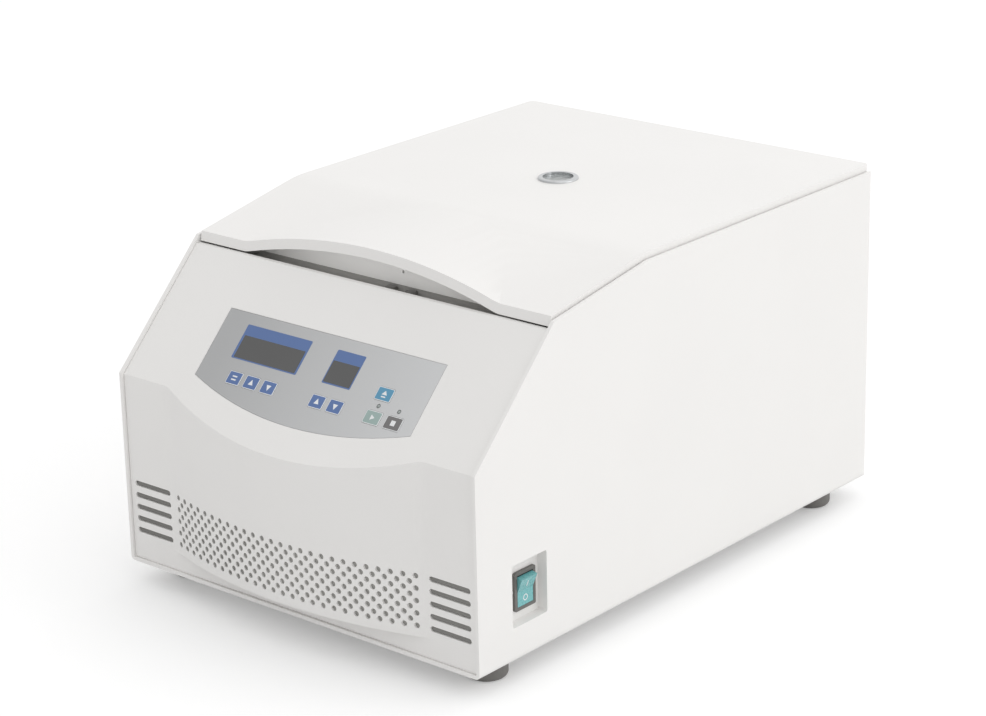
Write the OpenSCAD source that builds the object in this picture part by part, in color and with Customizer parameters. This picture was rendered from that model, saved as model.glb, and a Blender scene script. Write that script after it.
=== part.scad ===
/* [Case] */
// Width of the case across its two sides
case_w = 370; // [340:1:420]
// Depth of the case from its lower front edge to its rear wall
case_d = 510; // [490:1:560]
// Height of the side walls at the rear
side_h = 270; // [262:1:300]
// Thickness of the case walls
case_t = 3; // [2:0.5:4]
// Height at which the front starts to slope back
slope_z = 160; // [150:1:170]
// Run and rise of the 45 degree front slope at the case sides
slope_run = 92; // [86:1:96]
// Height of the rear wall, low enough for the lid to swing
rear_wall_h = 247; // [243:1:248]
// Outer radius of the case edges along the floor
floor_edge_r = 4; // [2:0.5:5]
// Outer radius of the rear corners
rear_corner_r = 6; // [3:0.5:9]

/* [Front panel] */
// Wall of the moulded front panel
panel_t = 3; // [2:0.5:4]
// How far the panel sits back from the front rim of the case
panel_set_back = 2; // [0:0.5:4]
// Length of the sloped face from the bend to its top edge
panel_slope_len = 122.5; // [118:0.5:123]
// Half width of the bulge in the lower front
bulge_half_w = 132; // [120:1:134]
// How far the bulge stands out of the panel
bulge_out = 21; // [14:1:26]
// Height of the lower end of the bulge above the case floor
bulge_z = 19; // [12:1:21]
// Radius of the soft edge beside the bulge
bulge_edge_r = 40; // [20:1:60]
// Spacing of the grille holes along a row and from row to row
grille_pitch = 10; // [9:0.5:12]
// Diameter of a grille hole
grille_hole_d = 4.5; // [3:0.5:5.5]
// Number of holes in a full grille row
grille_cols = 26; // [20:2:26]
// Number of full grille rows, and of slots on each side
grille_rows = 5; // [3:1:5]
// Height of the lowest row above the case floor
grille_z = 28; // [26:1:34]
// Length of a side slot
slot_l = 40; // [30:1:41]
// Height of a side slot
slot_h = 4.5; // [3:0.5:6]

/* [Keypad] */
// Width of the keypad
pad_w = 224; // [216:1:230]
// Straight height of the keypad at its ends
pad_h = 60.5; // [56:0.5:64]
// Height of the keypad's lower end above the bend, along the slope
pad_s = 17; // [16:0.5:22]
// How far the keypad's lower edge sags in its middle
pad_sag = 19.5; // [8:0.5:20]
// Thickness of the keypad
pad_t = 1; // [0.6:0.1:1.4]
// Width of a small key
key_w = 14; // [11:0.5:15]
// Height of a small key
key_h = 11; // [9:0.5:12]
// Width of the open, start and stop keys
big_key_w = 15.5; // [12:0.5:16]
// How far a key can be pressed
key_travel = 0.4; // [0.2:0.1:0.5]
// Gap round each key
key_gap = 0.3; // [0.2:0.05:0.5]

/* [Lid] */
// Height of the lid's flat top above the case floor
lid_z = 275.5; // [268:0.5:306]
// Thickness of the lid's skin
lid_t = 2.5; // [2:0.5:3]
// Gap between the lid and each side wall of the case
lid_side_gap = 1.3; // [1:0.1:2]
// Height of the lid's front edge at its ends
lid_front_z = 255; // [253:0.5:258]
// Distance from the case front to the lid's front edge
lid_front_y = 94; // [92:0.5:98]
// Distance from the case front to where the lid's top turns flat
lid_bend_y = 205; // [190:1:230]
// Half width of the arch over the finger gap
arch_half_w = 131; // [110:1:145]
// Rise of the arch over the front edge
arch_rise = 17; // [12:0.5:19]
// Height of the band under the lid's front edge
lip_h = 8; // [6:0.5:9]
// Depth of the finger gap from the lid's front edge to the liner
finger_depth = 14; // [12:0.5:20]
// How far the lid opens, in degrees
// Diameter of the chromed ring round the sight window
sight_d = 34; // [28:1:44]

/* [Bowl and rotor] */
// Distance from the case front to the rotor axis
rotor_y = 325; // [322:1:330]
// Inner radius of the bowl
bowl_r = 160; // [158:1:164]
// Height of the top deck above the case floor
deck_z = 238; // [236:0.5:240]
// Height of the bowl's inner floor above the case floor
bowl_floor_z = 116; // [112:1:118]
// Wall of the bowl
bowl_t = 1.5; // [1:0.1:2]
// Height of the bucket pivots above the case floor
pivot_z = 184; // [183:0.5:186]
// Distance of the bucket pivots from the rotor axis
pivot_r = 78; // [76:0.5:80]
// Inner length of a bucket, for a plate 127.8 long
bucket_l = 129.5; // [128:0.5:131]
// Inner width of a bucket, for a plate 85.5 wide
bucket_w = 87.5; // [86:0.5:89]
// Depth of a bucket below its pivots
bucket_h = 40; // [34:0.5:42]
// Diameter of the drive shaft
shaft_d = 14; // [10:1:16]
// Diameter of the drive motor
motor_d = 112; // [90:1:124]
// Height of the drive motor
motor_h = 62; // [50:1:64]

/* [Power switch] */
// Width of the switch pocket in the right side
pocket_w = 40; // [36:1:44]
// Height of the switch pocket
pocket_h = 50; // [44:1:54]
// Depth of the switch pocket
pocket_depth = 9; // [6:0.5:12]
// Distance from the case front to the middle of the pocket
pocket_y = 59; // [56:0.5:80]
// Height of the middle of the pocket above the case floor
pocket_z = 52.5; // [50:0.5:70]
// Distance from the case front to the middle of the switch
switch_y = 61.5; // [60:0.5:65]
// Height of the middle of the switch above the case floor
switch_z = 50.5; // [49:0.5:54]
// Width of the switch bezel
switch_w = 24; // [23:0.5:28]
// Height of the switch bezel
switch_h = 31; // [29:0.5:34]
// Tilt of the rocker to each side of its middle, in degrees
rocker_tilt = 11; // [6:1:14]

/* [Feet] */
// Diameter of a rubber foot
foot_d = 33; // [28:1:40]
// Height of a rubber foot
foot_h = 18; // [14:0.5:24]

/* [Hidden] */
$fn = 48;

painted = [0.93, 0.93, 0.92];
moulded = [0.86, 0.86, 0.85];
keypad_grey = [0.67, 0.68, 0.70];
key_blue = [0.38, 0.50, 0.76];
dark = [0.25, 0.25, 0.25];
rubber = [0.16, 0.16, 0.16];
steel = [0.75, 0.76, 0.78];
zinc = [0.62, 0.64, 0.66];
board_green = [0.12, 0.40, 0.22];
teal = [0.25, 0.68, 0.68];

// Clearance between neighbouring pieces that don't run on each other
gap = 0.3;
// Radial clearance of a shaft or pin in its bore
run = 0.05;
// How far the fuse caps stand out of the rear wall
rear_out = 6;
// Middle of the object from its front to its rear, seen from the lower front rim
mid_y = (case_d + rear_out + panel_set_back - bulge_out) / 2;
half_w = case_w / 2;
inner_half_w = half_w - case_t;
lid_half_w = inner_half_w - lid_side_gap;
panel_half_w = inner_half_w - gap;
// Keeps cut-outs clear of the faces that they pass through
over = 1;

// Moves a piece from the case's own corner to the object's origin
module place() translate([0, -mid_y, foot_h]) children();

// Extrudes an outline in Y and Z across the width w
module along_x(w) rotate([90, 0, 90]) translate([0, 0, -w / 2]) linear_extrude(w) children();

// Extrudes an outline in X and Z from y_a to y_b
module along_y(y_a, y_b) translate([0, y_b, 0]) rotate([90, 0, 0]) linear_extrude(y_b - y_a) children();

// Local frame of the front slope: X across, Y up the slope, Z out of it
module on_slope() translate([0, 0, slope_z]) rotate([45, 0, 0]) children();

// Rounds one outer corner of a square outline: the corner at the origin, material on +X +Y
module corner_cut(r) difference() {
    translate([-over, -over]) square(r + over);
    translate([r, r]) circle(r);
}

// Square outline centred on X, rising from zero, with its two lower corners rounded
module tub_outline(w, h, r) difference() {
    translate([-w / 2, 0]) square([w, h]);
    translate([-w / 2, 0]) corner_cut(r);
    mirror([1, 0]) translate([-w / 2, 0]) corner_cut(r);
}

// Rectangle with four round corners, centred
module round_rect(w, h, r) {
    square([w - 2 * r, h], center = true);
    square([w, h - 2 * r], center = true);
    for (x = [-1, 1], y = [-1, 1]) translate([x * (w / 2 - r), y * (h / 2 - r)]) circle(r);
}

// Shallow round swell above the X axis, blended into the axis on both sides
module swell(r, rise, edge_r) {
    drop = r - rise;
    foot = sqrt(pow(r + edge_r, 2) - pow(drop + edge_r, 2));
    share = r / (r + edge_r);
    tip = [foot * share, (drop + edge_r) * share - drop];
    difference() {
        union() {
            intersection() {
                translate([0, -drop]) circle(r, $fn = 200);
                translate([-foot, 0]) square([2 * foot, 2 * rise]);
            }
            for (s = [-1, 1]) polygon([[s * tip[0], tip[1]], [s * foot, 0], [s * tip[0], 0]]);
        }
        for (s = [-1, 1]) translate([s * foot, edge_r]) circle(edge_r, $fn = 96);
    }
}

function swell_radius(half, rise) = (half * half + rise * rise) / (2 * rise);

// Outline of the case seen from its side
module side_outline() difference() {
    polygon([
        [0, 0], [0, slope_z], [slope_run, slope_z + slope_run], [lid_bend_y, side_h], [case_d, side_h],
        [case_d, 0]
    ]);
    translate([case_d, 0]) mirror([1, 0]) corner_cut(rear_corner_r);
}

// Outer or inner volume of the case, drawn in by t
module case_volume(t) intersection() {
    translate([0, 0, t]) along_y(-over, case_d - t)
        tub_outline(case_w - 2 * t, side_h + over, max(floor_edge_r - t, 0.5));
    linear_extrude(side_h + 2 * over) translate([0, case_d - t]) mirror([0, 1])
        tub_outline(case_w - 2 * t, case_d + 2 * over, max(rear_corner_r - t, 0.5));
}

rear_slot_l = 70;
rear_slot_h = 4;
rear_slot_pitch = 10;
rear_slot_rows = 7;
rear_slot_z = 130;
inlet_x = -120;
inlet_z = 50;
inlet_w = 27.5;
inlet_h = 20;
fuse_x = -82;
fuse_pitch = 26;
fuse_d = 12;
fan_x = 70;
fan_z = 58;
fan_size = 80;
fan_depth = 25;
fan_bore_d = 76;
fan_hole_pitch = 71.5;
fan_screw_d = 4;
foot_x = half_w - foot_d / 2 - 12;
foot_front_y = 41;
foot_rear_y = 467;
foot_screw_d = 5;
pocket_wall = 2;

module at_feet() for (x = [-1, 1], y = [foot_front_y, foot_rear_y]) translate([x * foot_x, y, 0]) children();

module case_shell() place() color(painted) difference() {
    union() {
        difference() {
            intersection() {
                along_x(case_w) side_outline();
                case_volume(0);
            }
            case_volume(case_t);
            translate([-inner_half_w, case_d - case_t - over, rear_wall_h])
                cube([2 * inner_half_w, case_t + 2 * over, side_h]);
        }
        translate([half_w - pocket_depth - pocket_wall, pocket_y, pocket_z]) rotate([90, 0, 90])
            linear_extrude(pocket_depth + pocket_wall - over)
            round_rect(pocket_w + 2 * pocket_wall, pocket_h + 2 * pocket_wall, 4);
    }
    translate([half_w - pocket_depth, pocket_y, pocket_z]) rotate([90, 0, 90])
        linear_extrude(pocket_depth + over) round_rect(pocket_w, pocket_h, 2);
    translate([half_w - pocket_depth - pocket_wall - over, switch_y, switch_z]) rotate([90, 0, 90])
        linear_extrude(pocket_wall + 2 * over) square([switch_body_w, switch_body_h], center = true);
    for (x = [-1, 1], i = [0 : rear_slot_rows - 1])
        translate([x * (rear_slot_l / 2 + 12), 0, rear_slot_z + i * rear_slot_pitch])
        along_y(case_d - case_t - over, case_d + over)
            round_rect(rear_slot_l, rear_slot_h, rear_slot_h / 2 - 0.01);
    translate([inlet_x, 0, inlet_z]) along_y(case_d - case_t - over, case_d + over)
        square([inlet_w, inlet_h], center = true);
    for (z = [-1, 1]) translate([fuse_x, 0, inlet_z + z * fuse_pitch / 2])
        along_y(case_d - case_t - over, case_d + over) circle(d = fuse_d);
    translate([fan_x, 0, fan_z]) along_y(case_d - case_t - over, case_d + over) circle(d = fan_bore_d - 4);
    translate([fan_x, 0, fan_z]) along_y(case_d - case_t - over, case_d + over)
        for (x = [-1, 1], z = [-1, 1]) translate([x, z] * fan_hole_pitch / 2) circle(d = fan_screw_d);
    at_feet() translate([0, 0, -over]) cylinder(d = foot_screw_d + 2 * gap, h = case_t + 2 * over);
}

base_t = 3;
base_top = case_t + base_t;
base_edge = 4;

module base_plate() place() color(zinc) difference() {
    translate([0, case_d / 2, case_t]) linear_extrude(base_t)
        round_rect(case_w - 2 * (case_t + base_edge), case_d - 2 * (case_t + base_edge), 6);
    at_feet() cylinder(d = foot_screw_d + 2 * gap, h = base_top + over);
    at_mounts() cylinder(d = mount_screw_d + 2 * gap, h = base_top + over);
}

module rubber_feet() place() color(rubber) at_feet() rotate([180, 0, 0]) rotate_extrude() difference() {
    union() {
        square([foot_d / 2 - 4, foot_h]);
        square([foot_d / 2, foot_h - 4]);
        translate([foot_d / 2 - 4, foot_h - 4]) circle(4);
    }
    square([foot_screw_d / 2 + gap, foot_h + over]);
    translate([0, foot_h - 6]) square([foot_screw_d + gap, 6 + over]);
    translate([-foot_d, -over]) square([foot_d, foot_h + 3 * over]);
}

foot_nut_h = 4;
module foot_screws() place() color(steel) at_feet() {
    translate([0, 0, 6 - foot_h - 3.5]) cylinder(d = 2 * foot_screw_d, h = 3.5);
    translate([0, 0, 6 - foot_h]) cylinder(d = foot_screw_d, h = foot_h - 6 + base_top + foot_nut_h + 1);
    translate([0, 0, base_top]) cylinder(d = 2 * foot_screw_d, h = foot_nut_h, $fn = 6);
}

// Local height of the panel's face and of its back in the slope's frame
panel_face = -panel_set_back;
panel_back = panel_face - panel_t;
panel_reach = 160;

panel_top_z = slope_z - panel_set_back * (sqrt(2) - 1) + panel_slope_len / sqrt(2);
function slope_y(z, d) = z - slope_z + d * sqrt(2);

// Volume behind the panel's face, or behind its back, at the depth d from the front rim
module panel_volume(d, extra) along_x(2 * (panel_half_w + extra)) polygon([
    [d, case_t + gap - extra], [d, slope_z - d * (sqrt(2) - 1)],
    [slope_y(panel_top_z + extra, d), panel_top_z + extra],
    [panel_reach, panel_top_z + extra], [panel_reach, case_t + gap - extra]
]);

// The bulge below the slope, at the depth d from the front rim
module bulge_volume(d) {
    r = swell_radius(bulge_half_w, bulge_out) - (d - panel_set_back);
    low = bulge_z + d - panel_set_back;
    intersection() {
        translate([0, d, low]) mirror([0, 1, 0]) linear_extrude(slope_z) {
            swell(r, bulge_out, bulge_edge_r + d - panel_set_back);
            translate([-bulge_half_w, -20]) square([2 * bulge_half_w, 20.5]);
        }
        along_x(case_w) polygon([
            [-60, slope_z - 60 - d * sqrt(2)], [60, slope_z + 60 - d * sqrt(2)], [60, 0], [-60, 0]
        ]);
    }
}

// A rib under the panel's top edge stands on the front of the deck
rib_t = 2.5;
panel_rib_y = slope_y(panel_top_z, panel_set_back + panel_t) - rib_t;

module grille_holes() {
    spread = (grille_cols - 1) / 2;
    along_y(-bulge_out - over, panel_set_back + panel_t + over) {
        for (j = [0 : grille_rows - 1], i = [0 : grille_cols - 1])
            translate([(i - spread) * grille_pitch, grille_z + j * grille_pitch])
                circle(d = grille_hole_d, $fn = 16);
        for (j = [0 : grille_rows - 2], i = [0 : grille_cols - 2])
            translate([(i + 0.5 - spread) * grille_pitch, grille_z + (j + 0.5) * grille_pitch])
                circle(d = grille_hole_d, $fn = 16);
    }
}

slot_x = 136.5;
module side_slots() along_y(-over, panel_set_back + panel_t + over)
    for (s = [-1, 1], j = [0 : grille_rows - 1])
        translate([s * (slot_x + slot_l / 2), grille_z + j * grille_pitch])
            round_rect(slot_l, slot_h, slot_h / 2 - 0.01);

// Outline of the keypad on the slope
module pad_outline(edge) {
    sag_r = swell_radius(pad_w / 2, pad_sag);
    intersection() {
        translate([0, pad_s - pad_sag + sag_r]) circle(sag_r + edge, $fn = 200);
        translate([-pad_w / 2 - edge, pad_s - pad_sag - edge])
            square([pad_w + 2 * edge, pad_sag + pad_h + 2 * edge]);
    }
}

// Places on the keypad: across, and up the slope from the bend
key_row = 22.6;
mode_at = [-72.7, key_row];
speed_up_at = [-54.5, key_row];
speed_down_at = [-36.3, key_row];
time_up_at = [14.8, key_row];
time_down_at = [33.2, key_row];
open_at = [71.2, 42.6];
start_at = [71.2, key_row];
stop_at = [91.7, key_row];
small_keys = [mode_at, speed_up_at, speed_down_at, time_up_at, time_down_at];
big_keys = [open_at, start_at, stop_at];
lamps_at = [[71.2, 32.6], [91.7, 32.6]];
lamp_d = 3;
speed_window_at = [-52.1, 49];
speed_window_size = [64.5, 19.5];
time_window_at = [23.4, 49];
time_window_size = [27, 18.5];
window_r = 1;
key_r = 1.2;

module all_keys(edge) {
    for (p = small_keys) translate(p) round_rect(key_w + 2 * edge, key_h + 2 * edge, key_r + edge);
    for (p = big_keys) translate(p) round_rect(big_key_w + 2 * edge, key_h + 2 * edge, key_r + edge);
}

module front_panel() place() color(moulded) difference() {
    union() {
        difference() {
            union() {
                panel_volume(panel_set_back, 0);
                bulge_volume(panel_set_back);
            }
            panel_volume(panel_set_back + panel_t, over);
            bulge_volume(panel_set_back + panel_t);
        }
        translate([-panel_half_w, panel_rib_y, deck_z]) cube([2 * panel_half_w, rib_t, panel_top_z - deck_z]);
    }
    grille_holes();
    side_slots();
    on_slope() {
        translate([0, 0, panel_face - pad_t]) linear_extrude(pad_t + over) pad_outline(gap);
        translate([0, 0, panel_back - over]) linear_extrude(panel_t + over) {
            translate(speed_window_at)
                round_rect(speed_window_size[0] - 2, speed_window_size[1] - 2, window_r);
            translate(time_window_at) round_rect(time_window_size[0] - 2, time_window_size[1] - 2, window_r);
            for (p = lamps_at) translate(p) circle(d = lamp_d + 2 * gap);
        }
    }
}

module keypad() place() color(keypad_grey) on_slope() translate([0, 0, panel_face - pad_t])
    linear_extrude(pad_t) difference() {
        pad_outline(0);
        all_keys(key_gap);
        translate(speed_window_at) round_rect(speed_window_size[0], speed_window_size[1], window_r);
        translate(time_window_at) round_rect(time_window_size[0], time_window_size[1], window_r);
        for (p = lamps_at) translate(p) circle(d = lamp_d + 2 * gap);
    }

module window(at, size) place() color(dark) on_slope() translate([0, 0, panel_face - pad_t])
    linear_extrude(pad_t) translate(at) round_rect(size[0] - 2 * run, size[1] - 2 * run, window_r);

module speed_window() window(speed_window_at, speed_window_size);
module time_window() window(time_window_at, time_window_size);

// How far a key's cap stands out of the keypad
key_proud = 0.3;
key_floor_gap = 0.1;
module key_cap(at, w, tint) place() color(tint) on_slope()
    translate([0, 0, panel_face - pad_t + key_travel + key_floor_gap])
    linear_extrude(pad_t + key_proud - key_travel - key_floor_gap) translate(at) round_rect(w, key_h, key_r);

module mode_key() key_cap(mode_at, key_w, key_blue);
module speed_up_key() key_cap(speed_up_at, key_w, key_blue);
module speed_down_key() key_cap(speed_down_at, key_w, key_blue);
module time_up_key() key_cap(time_up_at, key_w, key_blue);
module time_down_key() key_cap(time_down_at, key_w, key_blue);
module open_key() key_cap(open_at, big_key_w, teal);
module start_key() key_cap(start_at, big_key_w, teal);
module stop_key() key_cap(stop_at, big_key_w, dark);

// The control board hangs on posts behind the sloped part of the panel
board_gap = 12;
board_t = 1.6;
board_face = panel_back - board_gap;
board_w = 216;
board_h = 70;
board_s = 44;
post_d = 7;
module status_lamps() place() color(teal) on_slope() for (p = lamps_at)
    translate([p[0], p[1], board_face]) {
        cylinder(d = lamp_d, h = panel_face - board_face - lamp_d / 2 + 0.6);
        translate([0, 0, panel_face - board_face - lamp_d / 2 + 0.6]) sphere(d = lamp_d);
        cylinder(d = lamp_d + 1, h = 1);
    }

module control_board() place() color(board_green) on_slope() {
    translate([0, board_s, board_face - board_t]) linear_extrude(board_t) round_rect(board_w, board_h, 3);
    for (x = [-1, 1], y = [-1, 1])
        translate([x * (board_w / 2 - 6), board_s + y * (board_h / 2 - 6), board_face])
            cylinder(d = post_d, h = board_gap);
    translate([-30, board_s, board_face - board_t - 8]) linear_extrude(8) round_rect(36, 14, 1);
    translate([50, board_s - 10, board_face - board_t - 3]) linear_extrude(3) round_rect(26, 26, 1);
}

module display_modules() place() color(dark) on_slope() {
    translate([speed_window_at[0], speed_window_at[1], board_face])
        linear_extrude(board_gap + panel_t - pad_t - gap)
            round_rect(speed_window_size[0] - 4, speed_window_size[1] - 4, 1);
    translate([time_window_at[0], time_window_at[1], board_face])
        linear_extrude(board_gap + panel_t - pad_t - gap)
            round_rect(time_window_size[0] - 4, time_window_size[1] - 4, 1);
}

switch_body_w = 22;
switch_body_h = 27;
switch_body_depth = 22;
bezel_t = 2.5;
bezel_rim = 2.8;
pocket_floor_x = half_w - pocket_depth;
rocker_x = pocket_floor_x - 0.5;
rocker_r = 8.5;

module at_switch() translate([0, switch_y, switch_z]) children();

module switch_housing() place() color(rubber) at_switch() difference() {
    union() {
        translate([pocket_floor_x, 0, 0]) rotate([90, 0, 90]) linear_extrude(bezel_t)
            round_rect(switch_w, switch_h, 1.5);
        translate([pocket_floor_x - switch_body_depth, 0, 0]) rotate([90, 0, 90])
            linear_extrude(switch_body_depth + over)
                square([switch_body_w - gap, switch_body_h - gap], center = true);
        for (z = [-1, 1])
            translate([pocket_floor_x - switch_body_depth - 8, -3, 6 * z - 0.4]) cube([9, 6, 0.8]);
    }
    translate([rocker_x - rocker_r - gap, 0, 0]) rotate([90, 0, 90]) linear_extrude(4 * rocker_r)
        square([switch_w - 2 * bezel_rim, switch_h - 2 * bezel_rim], center = true);
    translate([rocker_x, 0, 0]) along_y(-switch_w, switch_w) circle(d = rocker_pin_d + 2 * run);
}

// Rocker seen along its pin: two faces that meet at the middle, over a round belly
module rocker_outline() {
    half = (switch_h - 2 * bezel_rim) / 2 - 1;
    middle = bezel_t + pocket_floor_x - rocker_x;
    intersection() {
        circle(rocker_r - gap);
        translate([-2 * rocker_r, -rocker_r]) square(2 * rocker_r);
    }
    polygon([
        [0, -half], [middle + half * tan(rocker_tilt), -half], [middle, 0],
        [middle + half * tan(rocker_tilt), half], [0, half], [-rocker_r / 2, 0]
    ]);
}

rocker_pin_d = 3;
module switch_rocker() place() color(teal) at_switch()
    translate([rocker_x, 0, 0]) rotate([0, rocker_tilt, 0]) {
    rocker_half = switch_w / 2 - bezel_rim - gap;
    along_y(-rocker_half, rocker_half) rocker_outline();
    along_y(-switch_body_w / 2 + gap, switch_body_w / 2 - gap) circle(d = rocker_pin_d);
}

mount_screw_d = 6;
mount_spread = 62;
mount_d = 28;
mount_h = 30;
motor_plate_t = 4;
motor_plate_w = 168;
motor_z = base_top + mount_h + motor_plate_t;
motor_top = motor_z + motor_h;
neck_r = 17;
neck_h = 6;
shaft_r = shaft_d / 2;

module at_rotor() translate([0, rotor_y, 0]) children();
module at_mounts() at_rotor() for (x = [-1, 1], y = [-1, 1]) translate([x, y, 0] * mount_spread) children();

// Rubber barrels, waisted in the middle, that carry the motor plate
module motor_mounts() place() color(rubber) at_mounts()
    translate([0, 0, base_top]) rotate_extrude() difference() {
    translate([mount_screw_d / 2 + gap, 0]) square([mount_d / 2 - mount_screw_d / 2 - gap, mount_h]);
    translate([mount_d / 2 + mount_h * 0.28, mount_h / 2]) circle(mount_h * 0.38);
}

module motor_plate() place() color(zinc) at_rotor()
    translate([0, 0, base_top + mount_h]) linear_extrude(motor_plate_t)
    difference() {
        round_rect(motor_plate_w, motor_plate_w, 16);
        for (x = [-1, 1], y = [-1, 1]) translate([x, y] * mount_spread) circle(d = mount_screw_d + 2 * gap);
    }

module motor_screws() place() color(steel) at_mounts() {
    translate([0, 0, case_t + gap]) cylinder(d = mount_screw_d, h = motor_z - case_t);
    translate([0, 0, motor_z]) cylinder(d = 1.8 * mount_screw_d, h = 4, $fn = 6);
}

motor_fins = 24;
module drive_motor() place() color(zinc) at_rotor() translate([0, 0, motor_z]) difference() {
    union() {
        rotate_extrude($fn = 96) {
            difference() {
                square([motor_d / 2 - 3, motor_h]);
                translate([motor_d / 2 - 3, motor_h]) rotate(180) corner_cut(8);
            }
            square([motor_d / 2, 8]);
            square([neck_r, motor_h + neck_h]);
        }
        for (i = [0 : motor_fins - 1]) rotate(i * 360 / motor_fins)
            translate([motor_d / 2 - 5, -1, 7]) cube([4.5, 2, motor_h - 18]);
    }
    translate([0, 0, 6]) cylinder(r = shaft_r + run, h = motor_h + neck_h);
}

// The shaft narrows to a shoulder for the yoke and to a stub for its nut
stub_r = shaft_r - 2;
hub_r = 25;
hub_low = pivot_z - 12;
hub_high = pivot_z + 10;
nut_h = 14;
nut_bore = nut_h - 3;
module drive_shaft() place() color(steel) at_rotor() {
    translate([0, 0, motor_z + 6 + gap]) cylinder(r = shaft_r, h = hub_low - motor_z - 6 - gap);
    translate([0, 0, hub_low - over]) cylinder(r = stub_r, h = hub_high - hub_low + nut_bore);
}

bowl_rim_w = 12;
bowl_hole_r = 30;
bowl_corner_r = 12;
module bowl_wall_outline(r, floor_z, corner) difference() {
    translate([0, floor_z]) square([r, deck_z + 3 * over - floor_z]);
    translate([r, floor_z]) mirror([1, 0]) corner_cut(corner);
}

module bowl() place() color(steel) at_rotor() rotate_extrude($fn = 128) difference() {
    union() {
        intersection() {
            bowl_wall_outline(bowl_r + bowl_t, bowl_floor_z - bowl_t, bowl_corner_r + bowl_t);
            square([bowl_r + bowl_t, deck_z + bowl_t]);
        }
        translate([bowl_r, deck_z]) square([bowl_rim_w, bowl_t]);
    }
    bowl_wall_outline(bowl_r, bowl_floor_z, bowl_corner_r);
    translate([-over, 0]) square([bowl_hole_r + over, deck_z]);
}

// Soft sleeve that closes the bowl round the motor's neck
boot_t = 1.6;
module bowl_boot() place() color(rubber) at_rotor() rotate_extrude($fn = 96) {
    translate([bowl_hole_r - 4, bowl_floor_z]) square([10, 2]);
    translate([bowl_hole_r - gap - boot_t, motor_top + neck_h - 2])
        square([boot_t, bowl_floor_z - motor_top - neck_h + 3]);
    translate([neck_r + 0.1, motor_top + neck_h - 2]) square([bowl_hole_r - gap - neck_r - 0.1, boot_t]);
}

gasket_z = deck_z + bowl_t;
liner_z = 244.5;
module bowl_gasket() place() color(rubber) at_rotor() rotate_extrude($fn = 128) {
    translate([bowl_r + 2, gasket_z]) square([7, 2]);
    translate([bowl_r + 5, liner_z - gap - 2]) circle(2, $fn = 32);
    translate([bowl_r + 4, gasket_z]) square([2, 3]);
}

guard_r = 165;
guard_t = 4;
guard_z = 104;
deck_t = 2;
deck_low = deck_z - deck_t;
module guard_ring() place() color(zinc) at_rotor() translate([0, 0, guard_z]) difference() {
    cylinder(r = guard_r + guard_t, h = deck_low - guard_z, $fn = 128);
    translate([0, 0, -over]) cylinder(r = guard_r, h = deck_low, $fn = 128);
}

deck_front_y = panel_rib_y - 1;
deck_rear_y = case_d - case_t - gap;
deck_half_w = inner_half_w - gap;
deck_flange = 14;
deck_screw_d = 4;
deck_screw_y = [120, 225, 425, 490];
module top_deck() place() color(painted) difference() {
    intersection() {
        union() {
            translate([-deck_half_w, deck_front_y, deck_low])
                cube([2 * deck_half_w, deck_rear_y - deck_front_y, deck_t]);
            for (s = [0, 1]) mirror([s, 0, 0])
                translate([deck_half_w - deck_t, deck_front_y, deck_low - deck_flange])
                cube([deck_t, deck_rear_y - deck_front_y, deck_flange + over]);
            translate([-deck_half_w, deck_rear_y - deck_t, deck_low - deck_flange])
                cube([2 * deck_half_w, deck_t, deck_flange + over]);
        }
        case_volume(case_t + gap);
    }
    at_rotor() translate([0, 0, deck_low - over])
        cylinder(r = bowl_r + bowl_t + gap, h = deck_t + 2 * over, $fn = 128);
    translate([lock_x - slot_w / 2, lock_y - hook_reach / 2 - hook_swing, deck_low - over])
        cube([slot_w, hook_reach + hook_swing + 4, deck_t + 2 * over]);
}

module deck_screws() place() color(steel) for (s = [-1, 1], y = deck_screw_y)
    translate([s * (deck_half_w - 7), y, deck_z]) cylinder(d1 = 8, d2 = 5, h = 2.2);

// Swing-out yoke: a waisted hub bar between two beams that carry the bucket pins
pin_r = 4;
bucket_t = 2.5;
bucket_half_l = bucket_l / 2 + bucket_t;
bucket_half_w = bucket_w / 2 + bucket_t;
beam_t = 8;
beam_gap = 1;
beam_in = bucket_half_l + beam_gap;
beam_out = beam_in + beam_t;
beam_end = pivot_r + 12;
beam_h = 18;
waist_r = 28;
waist_x = 24;
waist_y = 40;
module yoke_plan() {
    for (s = [-1, 1]) translate([0, s * (beam_in + beam_t / 2)]) round_rect(2 * beam_end, beam_t, 2);
    difference() {
        square([2 * hub_r + 8, 2 * beam_in + 1], center = true);
        for (s = [-1, 1], t = [-1, 1])
            translate([s * (hub_r + waist_x), t * waist_y]) circle(r = waist_r, $fn = 64);
    }
    circle(hub_r);
}

module rotor_yoke() place() color(steel) at_rotor() difference() {
    union() {
        translate([0, 0, pivot_z - beam_h / 2]) linear_extrude(beam_h) yoke_plan();
        translate([0, 0, hub_low]) cylinder(r = hub_r - 5, h = hub_high - hub_low);
    }
    translate([0, 0, hub_low - over]) cylinder(r = stub_r + run, h = hub_high - hub_low + 2 * over);
    for (x = [-1, 1]) translate([x * pivot_r, 0, pivot_z]) {
        along_y(-beam_out - over, beam_out + over) circle(pin_r + run);
        along_y(-beam_out - over, beam_out + over) translate([-pin_r - run, 0])
            square([2 * (pin_r + run), beam_h]);
    }
}

module rotor_nut() place() color(dark) at_rotor() translate([0, 0, hub_high]) difference() {
    union() {
        cylinder(r = 17, h = nut_h - 3);
        cylinder(r = 13, h = nut_h);
        for (i = [0 : 11]) rotate(i * 30) translate([16.5, 0, 1]) cylinder(r = 1.6, h = nut_h - 5, $fn = 16);
    }
    translate([0, 0, -over]) cylinder(r = stub_r + run, h = nut_bore + over);
}

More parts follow.
